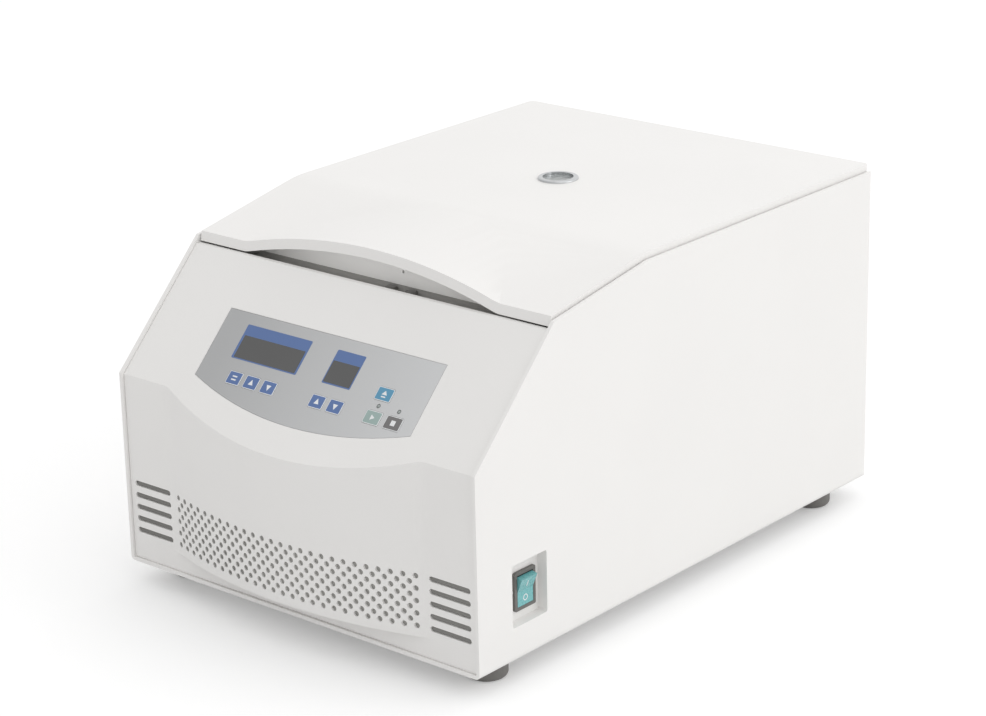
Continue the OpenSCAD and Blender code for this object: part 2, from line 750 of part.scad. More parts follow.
// Carrier for one microplate, open above, with low long sides to grip the plate by
bucket_side_h = 16;
corner_post = 14;
bucket_slot_w = 44;
bucket_slot_h = 14;
module bucket(tint) color(tint) difference() {
    union() {
        translate([0, 0, -bucket_h]) linear_extrude(bucket_h - 8)
            round_rect(2 * bucket_half_w, 2 * bucket_half_l, 4);
        for (s = [0, 1]) mirror([0, s, 0]) along_y(bucket_half_l - bucket_t, bucket_half_l) {
            polygon([
                [-bucket_half_w + 5, -bucket_h + 5], [bucket_half_w - 5, -bucket_h + 5],
                [bucket_half_w - 5, -9],
                [9, 0], [-9, 0], [-bucket_half_w + 5, -9]
            ]);
            circle(9);
        }
    }
    translate([0, 0, bucket_t - bucket_h]) linear_extrude(bucket_h) round_rect(bucket_w, bucket_l, 2);
    translate([0, 0, bucket_side_h - bucket_h]) linear_extrude(bucket_h)
        square([3 * bucket_half_w, bucket_l - 2 * corner_post], center = true);
    for (s = [0, 1]) mirror([0, s, 0]) translate([0, 0, -bucket_h / 2 - 4])
        along_y(bucket_half_l - bucket_t - over, bucket_half_l + over)
            round_rect(bucket_slot_w, bucket_slot_h, 4);
    along_y(-bucket_half_l - over, bucket_half_l + over) circle(pin_r - 1 + run);
}

module trunnions() color(steel) for (s = [0, 1]) mirror([0, s, 0]) {
    along_y(bucket_half_l, beam_out - gap) circle(pin_r);
    along_y(bucket_half_l - bucket_t, bucket_half_l + over) circle(pin_r - 1);
    along_y(bucket_half_l - bucket_t - 1.5, bucket_half_l - bucket_t) circle(pin_r + 1);
}

module bucket_a() place() at_rotor() translate([pivot_r, 0, pivot_z]) bucket(steel);
module bucket_b() place() at_rotor() translate([-pivot_r, 0, pivot_z]) bucket(steel);
module trunnions_a() place() at_rotor() translate([pivot_r, 0, pivot_z]) trunnions();
module trunnions_b() place() at_rotor() translate([-pivot_r, 0, pivot_z]) trunnions();

power_x = -108;
power_y = 96;
power_w = 110;
power_l = 104;
power_post_h = 8;
power_top = power_post_h + board_t;
transformer = [58, 52, 44];
transformer_at = [-16, 12];
capacitor_d = 15;
capacitor_h = 28;
capacitor_x = 38;
sink = [4, 30, 34];
sink_at = [24, 16];
module power_board() place() translate([power_x, power_y, base_top]) {
    color(board_green) translate([0, 0, power_post_h]) linear_extrude(board_t) round_rect(power_w, power_l, 3);
    color(steel) for (x = [-1, 1], y = [-1, 1])
        translate([x * (power_w / 2 - 7), y * (power_l / 2 - 7), 0]) cylinder(d = post_d, h = power_post_h);
    color(dark) translate([transformer_at[0], transformer_at[1], power_top]) linear_extrude(transformer[2])
        round_rect(transformer[0], transformer[1], 2);
    color(key_blue) for (y = [-36, -18])
        translate([capacitor_x, y, power_top]) cylinder(d = capacitor_d, h = capacitor_h);
    color(steel) translate([sink_at[0], sink_at[1], power_top]) cube(sink);
}

flange_t = 2.5;
module power_inlet() place() color(rubber) translate([inlet_x, 0, inlet_z]) difference() {
    union() {
        along_y(case_d, case_d + flange_t) round_rect(inlet_w + 4, inlet_h + 5, 3);
        along_y(case_d - 20, case_d + over) square([inlet_w - 2 * gap, inlet_h - 2 * gap], center = true);
        for (x = [-7, 0, 7]) translate([x - 3, case_d - 28, -0.4]) cube([6, 9, 0.8]);
    }
    difference() {
        along_y(case_d - 17, case_d + flange_t + over) round_rect(inlet_w - 3.5, inlet_h - 4, 3);
        for (x = [-7, 0, 7]) translate([x - 1, case_d - 20, x == 0 ? 0.5 : -3.5]) cube([2, 17, 4]);
    }
}

module fuse_holders() place() for (z = [-1, 1])
    translate([fuse_x, case_d, inlet_z + z * fuse_pitch / 2]) rotate([-90, 0, 0]) {
    color(dark) translate([0, 0, -28]) cylinder(d = fuse_d - 2 * gap, h = 28 + over);
    color(dark) difference() {
        union() {
            cylinder(d = 17, h = 2);
            cylinder(d = 13, h = rear_out);
        }
        translate([-5, -0.8, rear_out - 1.2]) cube([10, 1.6, 2]);
    }
    color(steel) translate([-2.5, -0.4, -36]) cube([5, 0.8, 9]);
}

fan_hub_d = 30;
fan_y = case_d - case_t - fan_depth;
module at_fan() translate([fan_x, 0, fan_z]) children();

module fan_frame() place() color(rubber) at_fan() difference() {
    union() {
        difference() {
            along_y(fan_y, fan_y + fan_depth) round_rect(fan_size, fan_size, 4);
            along_y(fan_y - over, fan_y + fan_depth + over) circle(d = fan_bore_d, $fn = 96);
        }
        for (a = [45, 135]) rotate([0, a, 0])
            translate([-fan_bore_d / 2 - over, fan_y, -2.5]) cube([fan_bore_d + 2 * over, 3, 5]);
        along_y(fan_y, fan_y + 6) circle(d = fan_hub_d);
    }
    along_y(fan_y - over, fan_y + fan_depth + over)
        for (x = [-1, 1], z = [-1, 1]) translate([x, z] * fan_hole_pitch / 2) circle(d = fan_screw_d);
    along_y(fan_y - over, fan_y + 8) circle(r = fan_pin_r + run);
}

fan_blades = 7;
fan_pin_r = 2;
module fan_impeller() place() color(dark) at_fan() {
    along_y(fan_y + 6 + gap, fan_y + fan_depth - 3) circle(d = fan_hub_d);
    along_y(fan_y + 1, fan_y + 6 + 2 * gap) circle(r = fan_pin_r);
    intersection() {
        along_y(fan_y + 7, fan_y + fan_depth - 4) circle(d = fan_bore_d - 3, $fn = 96);
        for (i = [0 : fan_blades - 1]) rotate([0, i * 360 / fan_blades, 0])
            translate([fan_hub_d / 2 - 1, fan_y + fan_depth / 2 + 1.5, 0]) rotate([40, 0, 0])
                translate([0, -11, -0.9]) cube([fan_size, 22, 1.8]);
    }
}

module fan_guard() place() color(steel) at_fan() along_y(case_d, case_d + 1.6) {
    for (r = [10, 18, 26, 34]) difference() {
        circle(r + 0.9);
        circle(r - 0.9);
    }
    for (a = [45, 135]) rotate(a) square([fan_hole_pitch * sqrt(2), 2.2], center = true);
    for (x = [-1, 1], z = [-1, 1]) translate([x, z] * fan_hole_pitch / 2) circle(d = 8);
}

// Half space behind the leaning front of the lid
lip_lean = 12;
module behind_lip(t) translate([0, lid_front_y + t, lid_front_z]) rotate([-lip_lean, 0, 0])
    translate([-case_w, 0, -case_w / 2]) cube([2 * case_w, 2 * case_d, case_w]);

// Solid under the lid's top surface, drawn in by t, down to the height low at the rear
lid_low = 252;
lid_corner_r = 5;
bend_r = 120;
top_slope = atan((lid_z - lid_front_z) / (lid_bend_y - lid_front_y));
hood_slope = atan((lid_z - lid_front_z - arch_rise) / (lid_bend_y - lid_front_y));

// The soft bend between the sloped and the flat part of the lid's top
function bend_points(t) = [for (i = [0 : 4]) let (a = top_slope * (1 - i / 4)) [
    lid_bend_y + bend_r * tan(top_slope / 2) - (bend_r - t) * sin(a),
    lid_z - bend_r + (bend_r - t) * cos(a)
]];

module lid_volume(t, drop) intersection() {
    union() {
        along_x(2 * (lid_half_w - t)) polygon(concat(
            [[lid_front_y - 20, lid_front_z - lip_h - drop],
             [lid_front_y - 20, lid_front_z - t / cos(top_slope) - 20 * tan(top_slope)]],
            bend_points(t),
            [[case_d - t, lid_z - t], [case_d - t, lid_low - drop], [lid_bend_y, lid_low - drop],
             [lid_front_y, lid_front_z - lip_h - drop]]
        ));
        translate([0, lid_front_y, lid_front_z - t - 0.3]) rotate([hood_slope, 0, 0])
            along_y(-20, lid_bend_y - lid_front_y)
            intersection() {
                union() {
                    swell(swell_radius(arch_half_w, arch_rise + 0.3) - t, arch_rise + 0.3, bend_r / 2 + t);
                    translate([-arch_half_w, -5]) square([2 * arch_half_w, 5.01]);
                }
                translate([-case_w / 2, -5]) square([case_w, 3 * arch_rise]);
            }
    }
    behind_lip(t);
    linear_extrude(2 * lid_z) translate([0, case_d - t]) mirror([0, 1])
        tub_outline(2 * (lid_half_w - t), case_d + over, lid_corner_r - t);
}

sight_hole_r = sight_d / 2 - 2.8;
module lid_shell() place() color(painted) difference() {
    lid_volume(0, 0);
    lid_volume(lid_t, over);
    intersection() {
        translate([0, -lip_h * tan(lip_lean) - over, -lip_h]) lid_volume(0, 30);
        translate([-case_w / 2, 0, 0]) cube([case_w, lid_front_y + finger_depth - 2, 2 * lid_z]);
    }
    at_rotor() cylinder(r = sight_hole_r, h = 2 * lid_z);
}

// The hinge axis, near the top of the rear wall
hinge_y = case_d - 14;
hinge_z = 262;
hinge_x = 130;
liner_t = 2.5;
liner_half_w = lid_half_w - lid_t - 8;
liner_front_y = lid_front_y + finger_depth;
liner_rear_y = hinge_y - 36;
sight_tube_r = sight_hole_r + 1;
module lid_liner() place() color(moulded) difference() {
    union() {
        intersection() {
            lid_volume(lid_t + gap, 30);
            difference() {
                translate([-liner_half_w, liner_front_y, liner_z])
                    cube([2 * liner_half_w, liner_rear_y - liner_front_y, lid_z]);
                translate([-liner_half_w + liner_t, liner_front_y + liner_t, liner_z + liner_t])
                    cube([2 * (liner_half_w - liner_t), liner_rear_y - liner_front_y - 2 * liner_t, lid_z]);
            }
        }
        at_rotor() translate([0, 0, liner_z])
            cylinder(r = sight_tube_r + liner_t, h = lid_z - lid_t - 6 - liner_z);
    }
    at_rotor() translate([0, 0, liner_z - over]) cylinder(r = sight_tube_r, h = lid_z);
    translate([lock_x, liner_front_y - over, liner_z + 11]) along_y(0, liner_t + 2 * over) circle(d = 2.5);
}

ring_rise = 1.7;
lens_r = sight_hole_r - 1.6;
module sight_ring() place() color(steel) at_rotor() rotate_extrude($fn = 96) {
    translate([lens_r + run, lid_z - lid_t - 3])
        square([sight_hole_r - run - lens_r - run, lid_t + 3 + over]);
    difference() {
        translate([lens_r + run, lid_z]) square([sight_d / 2 - lens_r - run, ring_rise]);
        translate([sight_d / 2, lid_z + ring_rise]) rotate(180) corner_cut(ring_rise - 0.2);
    }
}

module sight_lens() place() color([0.8, 0.85, 0.86, 0.5]) at_rotor() translate([0, 0, lid_z - lid_t - 1])
    cylinder(r = lens_r, h = 3);

// Hinge: one pin through a root bracket and two lid leaves, on each side
hinge_pin_r = 3;
knuckle_r = 7;
bracket_w = 20;
leaf_w = 8;
leaf_gap = 0.5;
module at_hinges() for (s = [-1, 1]) translate([s * hinge_x, hinge_y, hinge_z]) children();

bracket_reach = 26;
bracket_foot_l = 24;
bracket_foot_t = 3;
bracket_neck = 13;
leaf_reach = 18;
leaf_t = 3;
module hinge_brackets() place() color(zinc) at_hinges() difference() {
    fall = hinge_z - deck_z;
    union() {
        along_x(bracket_w) {
            circle(knuckle_r);
            polygon([
                [-knuckle_r + 1, 1], [-knuckle_r - bracket_neck, -fall + 2 * bracket_foot_t],
                [-knuckle_r - bracket_reach, -fall + bracket_foot_t], [-knuckle_r - bracket_reach, -fall],
                [-knuckle_r - 6, -fall], [-knuckle_r - 3, -12], [-1, -knuckle_r + 0.3]
            ]);
        }
        translate([-bracket_w, -knuckle_r - bracket_foot_l - 6, -fall])
            cube([2 * bracket_w, bracket_foot_l, bracket_foot_t]);
    }
    along_x(bracket_w + 2 * over) circle(hinge_pin_r + 0.01);
}

module hinge_pins() place() color(steel) at_hinges()
    along_x(bracket_w + 2 * (leaf_w + leaf_gap)) circle(hinge_pin_r);

module hinge_leaves() place() color(zinc) at_hinges() for (s = [-1, 1])
    translate([s * (bracket_w / 2 + leaf_gap + leaf_w / 2), 0, 0]) difference() {
        along_x(leaf_w) {
            circle(knuckle_r);
            translate([-knuckle_r, 0]) square([2 * knuckle_r, lid_z - lid_t - hinge_z]);
            translate([-knuckle_r - leaf_reach, lid_z - lid_t - hinge_z - leaf_t])
                square([knuckle_r + leaf_reach, leaf_t]);
        }
        along_x(leaf_w + 2 * over) circle(hinge_pin_r + run);
    }

// Lock: the bolt slides across into the window of the lid's hook
lock_x = 24;
lock_y = 124;
hook_w = 3;
hook_reach = 16;
hook_swing = 7;
hook_low = 216;
slot_w = 14;
bolt_r = 4;
bolt_z = 224;
lock_wall = 7;
lock_len = 26;
lock_l = 36;
lock_under = 14;
hook_window = [11, 10];
hook_plate_w = 16;
solenoid_len = 36;
solenoid_w = 26;
solenoid_h = 23;
module lid_hook() place() color(steel) translate([lock_x, lock_y, 0]) difference() {
    union() {
        along_x(hook_w) polygon([
            [-hook_reach / 2, liner_z], [-hook_reach / 2, hook_low + 3], [-hook_reach / 2 + 3, hook_low],
            [hook_reach / 2 - 3, hook_low], [hook_reach / 2, hook_low + 3], [hook_reach / 2, liner_z]
        ]);
        translate([-hook_plate_w / 2, -hook_reach / 2, liner_z - 2]) cube([hook_plate_w, hook_reach, 2]);
    }
    translate([0, 0, bolt_z]) along_x(hook_w + 2 * over) round_rect(hook_window[0], hook_window[1], 2);
}

lock_left = lock_x - slot_w / 2 - lock_wall;
lock_right = lock_x + slot_w / 2 + lock_len;
module lock_housing() place() color(zinc) difference() {
    translate([lock_left, lock_y - lock_l / 2, bolt_z - lock_under])
        cube([lock_right - lock_left, lock_l, deck_low - bolt_z + lock_under]);
    translate([lock_x - slot_w / 2, lock_y - hook_reach / 2 - hook_swing, bolt_z - lock_under + 3])
        cube([slot_w, hook_reach + hook_swing + 4, deck_z - bolt_z + lock_under]);
    translate([(lock_left + lock_right) / 2, lock_y, bolt_z]) along_x(lock_right - lock_left + 2 * over)
        circle(bolt_r + run);
}

bolt_tip = lock_x + hook_w / 2 + 2;
module lock_bolt() place() color(steel) translate([0, lock_y, bolt_z]) {
    length = lock_right + solenoid_len - 4 - bolt_tip;
    translate([bolt_tip + length / 2, 0, 0]) along_x(length) circle(bolt_r);
}

module lock_solenoid() place() color(dark) translate([lock_right, lock_y, bolt_z]) difference() {
    union() {
        translate([0, -solenoid_w / 2, -solenoid_h / 2 - 0.5]) cube([solenoid_len, solenoid_w, solenoid_h]);
        translate([3, 0, 0]) rotate([0, 90, 0]) cylinder(r = solenoid_w / 2 - 1, h = solenoid_len - 6);
    }
    translate([solenoid_len / 2, 0, 0]) along_x(solenoid_len + 2 * over) circle(bolt_r + run);
}

case_shell();
base_plate();
front_panel();
top_deck();
guard_ring();
rubber_feet();
foot_screws();
keypad();
speed_window();
time_window();
status_lamps();
control_board();
display_modules();
mode_key();
speed_up_key();
speed_down_key();
time_up_key();
time_down_key();
open_key();
start_key();
stop_key();
switch_housing();
switch_rocker();
power_board();
power_inlet();
fuse_holders();
fan_frame();
fan_impeller();
fan_guard();
motor_mounts();
motor_plate();
drive_motor();
motor_screws();
bowl();
bowl_boot();
bowl_gasket();
drive_shaft();
rotor_yoke();
rotor_nut();
bucket_a();
bucket_b();
trunnions_a();
trunnions_b();
lid_shell();
lid_liner();
sight_ring();
sight_lens();
lid_hook();
hinge_leaves();
hinge_brackets();
hinge_pins();
lock_housing();
lock_bolt();
lock_solenoid();
deck_screws();
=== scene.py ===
"""Looks of a microplate centrifuge: finishes, keypad print, small fittings, light and camera."""

import math

import bmesh
import bpy
from bpy.props import FloatProperty, FloatVectorProperty, PointerProperty
from mathutils import Matrix, Vector


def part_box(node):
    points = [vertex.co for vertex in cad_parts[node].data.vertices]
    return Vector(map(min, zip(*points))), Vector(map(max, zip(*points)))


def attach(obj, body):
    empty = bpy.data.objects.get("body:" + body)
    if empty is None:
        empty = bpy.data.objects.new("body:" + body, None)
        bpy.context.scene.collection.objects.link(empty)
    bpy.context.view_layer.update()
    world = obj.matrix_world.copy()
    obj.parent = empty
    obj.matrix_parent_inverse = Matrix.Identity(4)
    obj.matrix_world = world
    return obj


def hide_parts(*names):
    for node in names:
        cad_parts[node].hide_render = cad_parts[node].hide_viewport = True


bl_info = {
    "name": "Microplate Centrifuge Looks",
    "version": (1, 0, 0),
    "blender": (4, 5, 0),
    "location": "View3D > Sidebar > Centrifuge",
    "description": "Dresses the centrifuge's frame with finishes, printed keys and fittings",
    "category": "Object",
}

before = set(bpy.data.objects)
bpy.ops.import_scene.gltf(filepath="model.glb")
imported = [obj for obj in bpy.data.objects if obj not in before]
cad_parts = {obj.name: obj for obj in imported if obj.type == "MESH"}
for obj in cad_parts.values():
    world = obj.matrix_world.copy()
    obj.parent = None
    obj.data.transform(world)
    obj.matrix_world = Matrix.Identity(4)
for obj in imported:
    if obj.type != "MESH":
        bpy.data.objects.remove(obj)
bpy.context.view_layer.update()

# Sizes shared by the pieces, in metres. Keys and displays lie on the 45 degree slope of the front panel,
# at a place along X and a distance up the slope from its lower edge. LOW and HIGH are heights over it.
CASE_FRONT = -0.2485
SLOPE = Matrix.Translation((0.0, CASE_FRONT, 0.178)) @ Matrix.Rotation(math.radians(45), 4, "X")
PANEL_FACE = -0.002
DISPLAYS = {
    "speed": {"across": (-0.0868, -0.0179), "up": (0.0383, 0.0681),
              "window_across": (-0.0845, -0.0197), "window_up": (0.0393, 0.0587)},
    "time": {"across": (0.0092, 0.0380), "up": (0.0384, 0.0673),
             "window_across": (0.0101, 0.0370), "window_up": (0.0395, 0.0580)},
}
FRAME_LOW, FRAME_HIGH, FRAME_CORNER = -0.0006, 0.00010, 0.0010
WINDOW_LOW, WINDOW_HIGH, WINDOW_CORNER = -0.0004, 0.00018, 0.0006
KEY_ROW = 0.0226
OPEN_KEY_ROW = 0.0426
SMALL_KEYS = {
    "mode_key": (-0.0727, "level"),
    "speed_up_key": (-0.0545, "up"),
    "speed_down_key": (-0.0363, "down"),
    "time_up_key": (0.0148, "up"),
    "time_down_key": (0.0332, "down"),
}
BIG_KEYS = {
    "open_key": (0.0712, OPEN_KEY_ROW, "lift", "key open", "key_open"),
    "start_key": (0.0712, KEY_ROW, "play", "key start", "key_teal"),
    "stop_key": (0.0917, KEY_ROW, "square", "key stop", "key_dark"),
}
# Prisms of each sign on a key: sides, radius, turn in degrees, centre and stretch
SIGNS = {
    "up": ((3, 0.0031, 0, (0, -0.0004), (0.9, 1)),),
    "down": ((3, 0.0031, 180, (0, 0.0004), (0.9, 1)),),
    "play": ((3, 0.0026, -90, (-0.0004, 0), (1, 1)),),
    "square": ((4, 0.0030, 45, (0, 0), (1, 1)),),
    "lift": ((3, 0.0024, 0, (0, 0.0006), (1.25, 1)), (4, 0.0030, 45, (0, -0.0023), (1, 0.25))),
    "level": ((4, 0.0034, 45, (0, 0.0014), (1, 0.24)), (4, 0.0034, 45, (0, -0.0014), (1, 0.24))),
}
KEY_LOW, KEY_HIGH, KEY_CORNER = -0.0005, 0.00022, 0.0012
FIELD_LIFT = 0.00008
SIGN_LOW, SIGN_HIGH = 0.00029, 0.00036

# The grille and the slots share their rows. The probe is a Y in front of the panel, from which its face
# is looked for.
GRILLE_PITCH = 0.010
GRILLE_LOW = 0.046
GRILLE_COLUMNS = 26
GRILLE_ROWS = 5
SLOT_MIDDLE = 0.1565
PANEL_PROBE = -0.4

# Middle of a bucket, out from the axis of the rotor, and the place of that axis
BUCKET_REACH = 0.078
ROTOR_Y = 0.0765

# Share of a noise that a drift of colour or gloss is spread over, the scale of that noise for a colour,
# and how strongly a grain shows.
DRIFT = (0.3, 0.7)
DRIFT_SCALE = 9.0
GRAIN_STRENGTH = 0.35

# Camera of the photograph, fitted to the edges of the case: its turn in radians, its distance and shifts
# from the aim in metres, and its focal length in pixels of the photograph.
AZIMUTH, ELEVATION, ROLL = 0.710243, 0.337824, -0.0226627
DISTANCE, SHIFT_RIGHT, SHIFT_UP = 2.2390, 0.15089, 0.19925
AIM = Vector((0, CASE_FRONT, 0.018))
FOCAL_PIXELS = 2910.27
PHOTO_WIDTH = 986
SENSOR_WIDTH = 36


def colour(name, description, default):
    return FloatVectorProperty(
        name=name, description=description, subtype="COLOR", size=3, min=0, max=1, default=default
    )


def length(name, description, default):
    return FloatProperty(
        name=name, description=description, subtype="DISTANCE", unit="LENGTH", default=default, min=0
    )


def strength(name, description, default):
    return FloatProperty(name=name, description=description, default=default, min=0)


class FinishSettings(bpy.types.PropertyGroup):
    """Colours of the case, keypad and fittings"""

    paint: colour("Case Paint", "Satin paint of the case and lid", (0.832, 0.820, 0.804))
    panel: colour("Front Panel", "Moulded front panel", (0.822, 0.811, 0.796))
    film: colour("Keypad Film", "Printed film round the keys", (0.50, 0.505, 0.51))
    blue: colour("Print Blue", "Display frames and small keys", (0.098, 0.168, 0.37))
    open_blue: colour("Open Key", "Key that frees the lid", (0.10, 0.30, 0.46))
    start: colour("Start Key", "Key that starts a run", (0.32, 0.42, 0.40))
    stop: colour("Stop Key", "Key that ends a run", (0.17, 0.165, 0.165))
    symbol: colour("Symbols", "Arrows and signs on the keys", (0.78, 0.79, 0.80))
    window: colour("Display Window", "Smoked display windows", (0.07, 0.07, 0.07))
    rocker: colour("Rocker", "Power rocker", (0.15, 0.44, 0.45))


class KeypadSettings(bpy.types.PropertyGroup):
    """Sizes of the printed keypad"""

    key_width: length("Key Width", "Width of a small key", 0.014)
    big_key_width: length("Big Key Width", "Width of the open, start and stop keys", 0.0155)
    key_height: length("Key Height", "Height of every key up the slope", 0.011)
    rim: length("Key Rim", "Pale outline of a key", 0.0005)


class StageSettings(bpy.types.PropertyGroup):
    """Light and floor"""

    key_power: strength("Key Light", "Power of the main lamp, in watts", 6.5)
    fill_power: strength("Overhead Light", "Power of the lamp above, in watts", 3.0)
    sky: strength("Sky", "Strength of the even light", 0.93)


# Material helpers


def new_material(name):
    mat = bpy.data.materials.new(name)
    mat.use_nodes = True
    return mat, mat.node_tree, mat.node_tree.nodes["Principled BSDF"]


def object_coordinates(tree, scale=(1, 1, 1)):
    coords = tree.nodes.new("ShaderNodeTexCoord")
    place = tree.nodes.new("ShaderNodeMapping")
    place.inputs["Scale"].default_value = scale
    tree.links.new(coords.outputs["Object"], place.inputs["Vector"])
    return place.outputs["Vector"]


def noise(tree, vector, scale, detail=2.0, rough=0.5):
    node = tree.nodes.new("ShaderNodeTexNoise")
    node.inputs["Scale"].default_value = scale
    node.inputs["Detail"].default_value = detail
    node.inputs["Roughness"].default_value = rough
    tree.links.new(vector, node.inputs["Vector"])
    return node.outputs["Fac"]


def shade_range(tree, factor, low, high):
    node = tree.nodes.new("ShaderNodeMapRange")
    node.inputs["From Min"].default_value = DRIFT[0]
    node.inputs["From Max"].default_value = DRIFT[1]
    node.inputs["To Min"].default_value = low
    node.inputs["To Max"].default_value = high
    tree.links.new(factor, node.inputs["Value"])
    return node.outputs["Result"]


def across(tree, vector, left, right):
    """Goes from the low to the high end of a painted light ramp between two places along X."""
    axes = tree.nodes.new("ShaderNodeSeparateXYZ")
    tree.links.new(vector, axes.inputs["Vector"])
    node = tree.nodes.new("ShaderNodeMapRange")
    node.inputs["From Min"].default_value = left
    node.inputs["From Max"].default_value = right
    node.inputs["To Min"].default_value = DRIFT[0]
    node.inputs["To Max"].default_value = DRIFT[1]
    tree.links.new(axes.outputs["X"], node.inputs["Value"])
    return node.outputs["Result"]


def colour_between(tree, factor, low, high):
    node = tree.nodes.new("ShaderNodeValToRGB")
    node.color_ramp.elements[0].position = DRIFT[0]
    node.color_ramp.elements[0].color = (*low, 1)
    node.color_ramp.elements[1].position = DRIFT[1]
    node.color_ramp.elements[1].color = (*high, 1)
    tree.links.new(factor, node.inputs["Fac"])
    return node.outputs["Color"]


def bump(tree, shader, height, strength, distance):
    node = tree.nodes.new("ShaderNodeBump")
    node.inputs["Strength"].default_value = strength
    node.inputs["Distance"].default_value = distance
    tree.links.new(height, node.inputs["Height"])
    tree.links.new(node.outputs["Normal"], shader.inputs["Normal"])


def scaled(rgb, factor):
    return tuple(min(1.0, c * factor) for c in rgb)


def grained(name, rgb, rough, grain, depth, spread=0.03, metallic=0.0, stretch=(1, 1, 1), coat=0.0,
            sheen=0.0, fade=None):
    """A finish whose colour drifts by a spread, with a fine grain in its gloss that is raised by a depth.

    With a painted light ramp, the colour goes from darker to lighter between two places along X instead: a
    painted reflection.
    """
    mat, tree, shader = new_material(name)
    vector = object_coordinates(tree, stretch)
    slow = across(tree, vector, *fade) if fade else noise(tree, vector, DRIFT_SCALE, 3.0)
    fine = noise(tree, vector, grain)
    tree.links.new(
        colour_between(tree, slow, scaled(rgb, 1 - spread), scaled(rgb, 1 + spread)),
        shader.inputs["Base Color"],
    )
    tree.links.new(shade_range(tree, fine, rough * 0.9, rough * 1.1), shader.inputs["Roughness"])
    shader.inputs["Metallic"].default_value = metallic
    shader.inputs["Coat Weight"].default_value = coat
    shader.inputs["Sheen Weight"].default_value = sheen
    bump(tree, shader, fine, GRAIN_STRENGTH, depth)
    return mat


def brushed(name, rgb, rough, stretch):
    return grained(name, rgb, rough, 700.0, 0.00002, 0.04, 1.0, stretch)


def printed(name, rgb):
    """Ink on the back of the keypad's film"""
    return grained(name, rgb, 0.40, 1600.0, 0.00001, 0.04)


def spangled(name, rgb):
    """Zinc plate, with its dull crystals"""
    mat, tree, shader = new_material(name)
    vector = object_coordinates(tree)
    cells = tree.nodes.new("ShaderNodeTexVoronoi")
    cells.inputs["Scale"].default_value = 120.0
    tree.links.new(vector, cells.inputs["Vector"])
    grey = tree.nodes.new("ShaderNodeSeparateColor")
    tree.links.new(cells.outputs["Color"], grey.inputs["Color"])
    shader.inputs["Metallic"].default_value = 0.9
    tree.links.new(
        colour_between(tree, grey.outputs["Red"], scaled(rgb, 0.9), scaled(rgb, 1.05)),
        shader.inputs["Base Color"],
    )
    tree.links.new(shade_range(tree, grey.outputs["Green"], 0.32, 0.42), shader.inputs["Roughness"])
    bump(tree, shader, noise(tree, vector, 900.0), 0.3, 0.00001)
    return mat


def clear_lens(name):
    mat, tree, shader = new_material(name)
    vector = object_coordinates(tree)
    shader.inputs["Base Color"].default_value = (0.86, 0.90, 0.90, 1)
    shader.inputs["Transmission Weight"].default_value = 0.85
    shader.inputs["IOR"].default_value = 1.49
    tree.links.new(shade_range(tree, noise(tree, vector, 400.0), 0.03, 0.08), shader.inputs["Roughness"])
    return mat


materials = {}


def make_materials(s):
    m = materials
    m["paint"] = grained("satin case paint", tuple(s.paint), 0.42, 420.0, 0.00004, 0.008, coat=0.08)
    m["panel"] = grained("moulded panel", tuple(s.panel), 0.55, 1300.0, 0.00003, 0.01)
    # The keypad film gets lighter from left to right: painted reflection of the light from the right.
    m["film"] = grained("keypad film", tuple(s.film), 0.42, 1600.0, 0.00001, 0.18, fade=(-0.1, 0.11))
    m["blue"] = printed("printed blue", tuple(s.blue))
    m["key open"] = printed("printed open key", tuple(s.open_blue))
    m["key start"] = printed("printed start key", tuple(s.start))
    m["key stop"] = printed("printed stop key", tuple(s.stop))
    m["symbol"] = grained("printed symbols", tuple(s.symbol), 0.42, 1600.0, 0.00001, 0.03)
    m["window"] = grained("smoked window", tuple(s.window), 0.16, 300.0, 0.000002, 0.05, coat=0.6)
    m["lamp"] = grained("lamp lens", (0.30, 0.33, 0.32), 0.2, 400.0, 0.000005, 0.05, coat=0.5)
    m["rubber"] = grained("moulded rubber", (0.175, 0.169, 0.160), 0.72, 900.0, 0.00006, 0.15, sheen=0.1)
    m["dark"] = grained("dark moulding", (0.135, 0.130, 0.122), 0.45, 1100.0, 0.00003, 0.08)
    # Black for the crosses of the screw heads: painted shade of their recesses.
    m["black"] = grained("black moulding", (0.030, 0.029, 0.028), 0.5, 1100.0, 0.00003, 0.08)
    # Dark foam behind and in the grille holes and slots: painted shade of the openings.
    m["foam"] = grained("filter foam", (0.29, 0.285, 0.27), 0.9, 1500.0, 0.0002, 0.2)
    m["slot foam"] = grained("slot foam", (0.215, 0.21, 0.20), 0.9, 1500.0, 0.0002, 0.2)
    # The liner is given a paler colour than the case paint: painted light that brightens its shaded wall
    # under the lid's arch.
    m["liner"] = grained("lid liner", (0.93, 0.922, 0.905), 0.5, 1300.0, 0.00003, 0.01)
    # Grey strip that closes the gap under the lid's front wall: painted shade of that gap.
    m["seal"] = grained("grey seal rubber", (0.36, 0.352, 0.338), 0.75, 900.0, 0.00006, 0.08)
    m["screw"] = grained("screw steel", (0.66, 0.66, 0.67), 0.3, 900.0, 0.00001, 0.04, 1.0)
    m["rocker"] = grained("tinted rocker", tuple(s.rocker), 0.28, 500.0, 0.00001, 0.06, coat=0.3)
    m["board"] = grained("circuit board", (0.02, 0.11, 0.05), 0.35, 500.0, 0.00002, 0.25, coat=0.3)
    m["steel"] = brushed("brushed steel", (0.72, 0.725, 0.73), 0.34, (1, 1, 0.06))
    m["turned"] = brushed("turned steel", (0.72, 0.72, 0.73), 0.26, (1, 1, 0.1))
    m["aluminium"] = grained("anodised aluminium", (0.76, 0.765, 0.77), 0.42, 1200.0, 0.00002, 0.03, 1.0)
    m["zinc"] = spangled("zinc plate", (0.62, 0.63, 0.65))
    m["chrome"] = grained("bright chrome", (0.55, 0.56, 0.57), 0.12, 300.0, 0.000004, 0.03, 1.0)
    m["lens"] = clear_lens("clear lens")


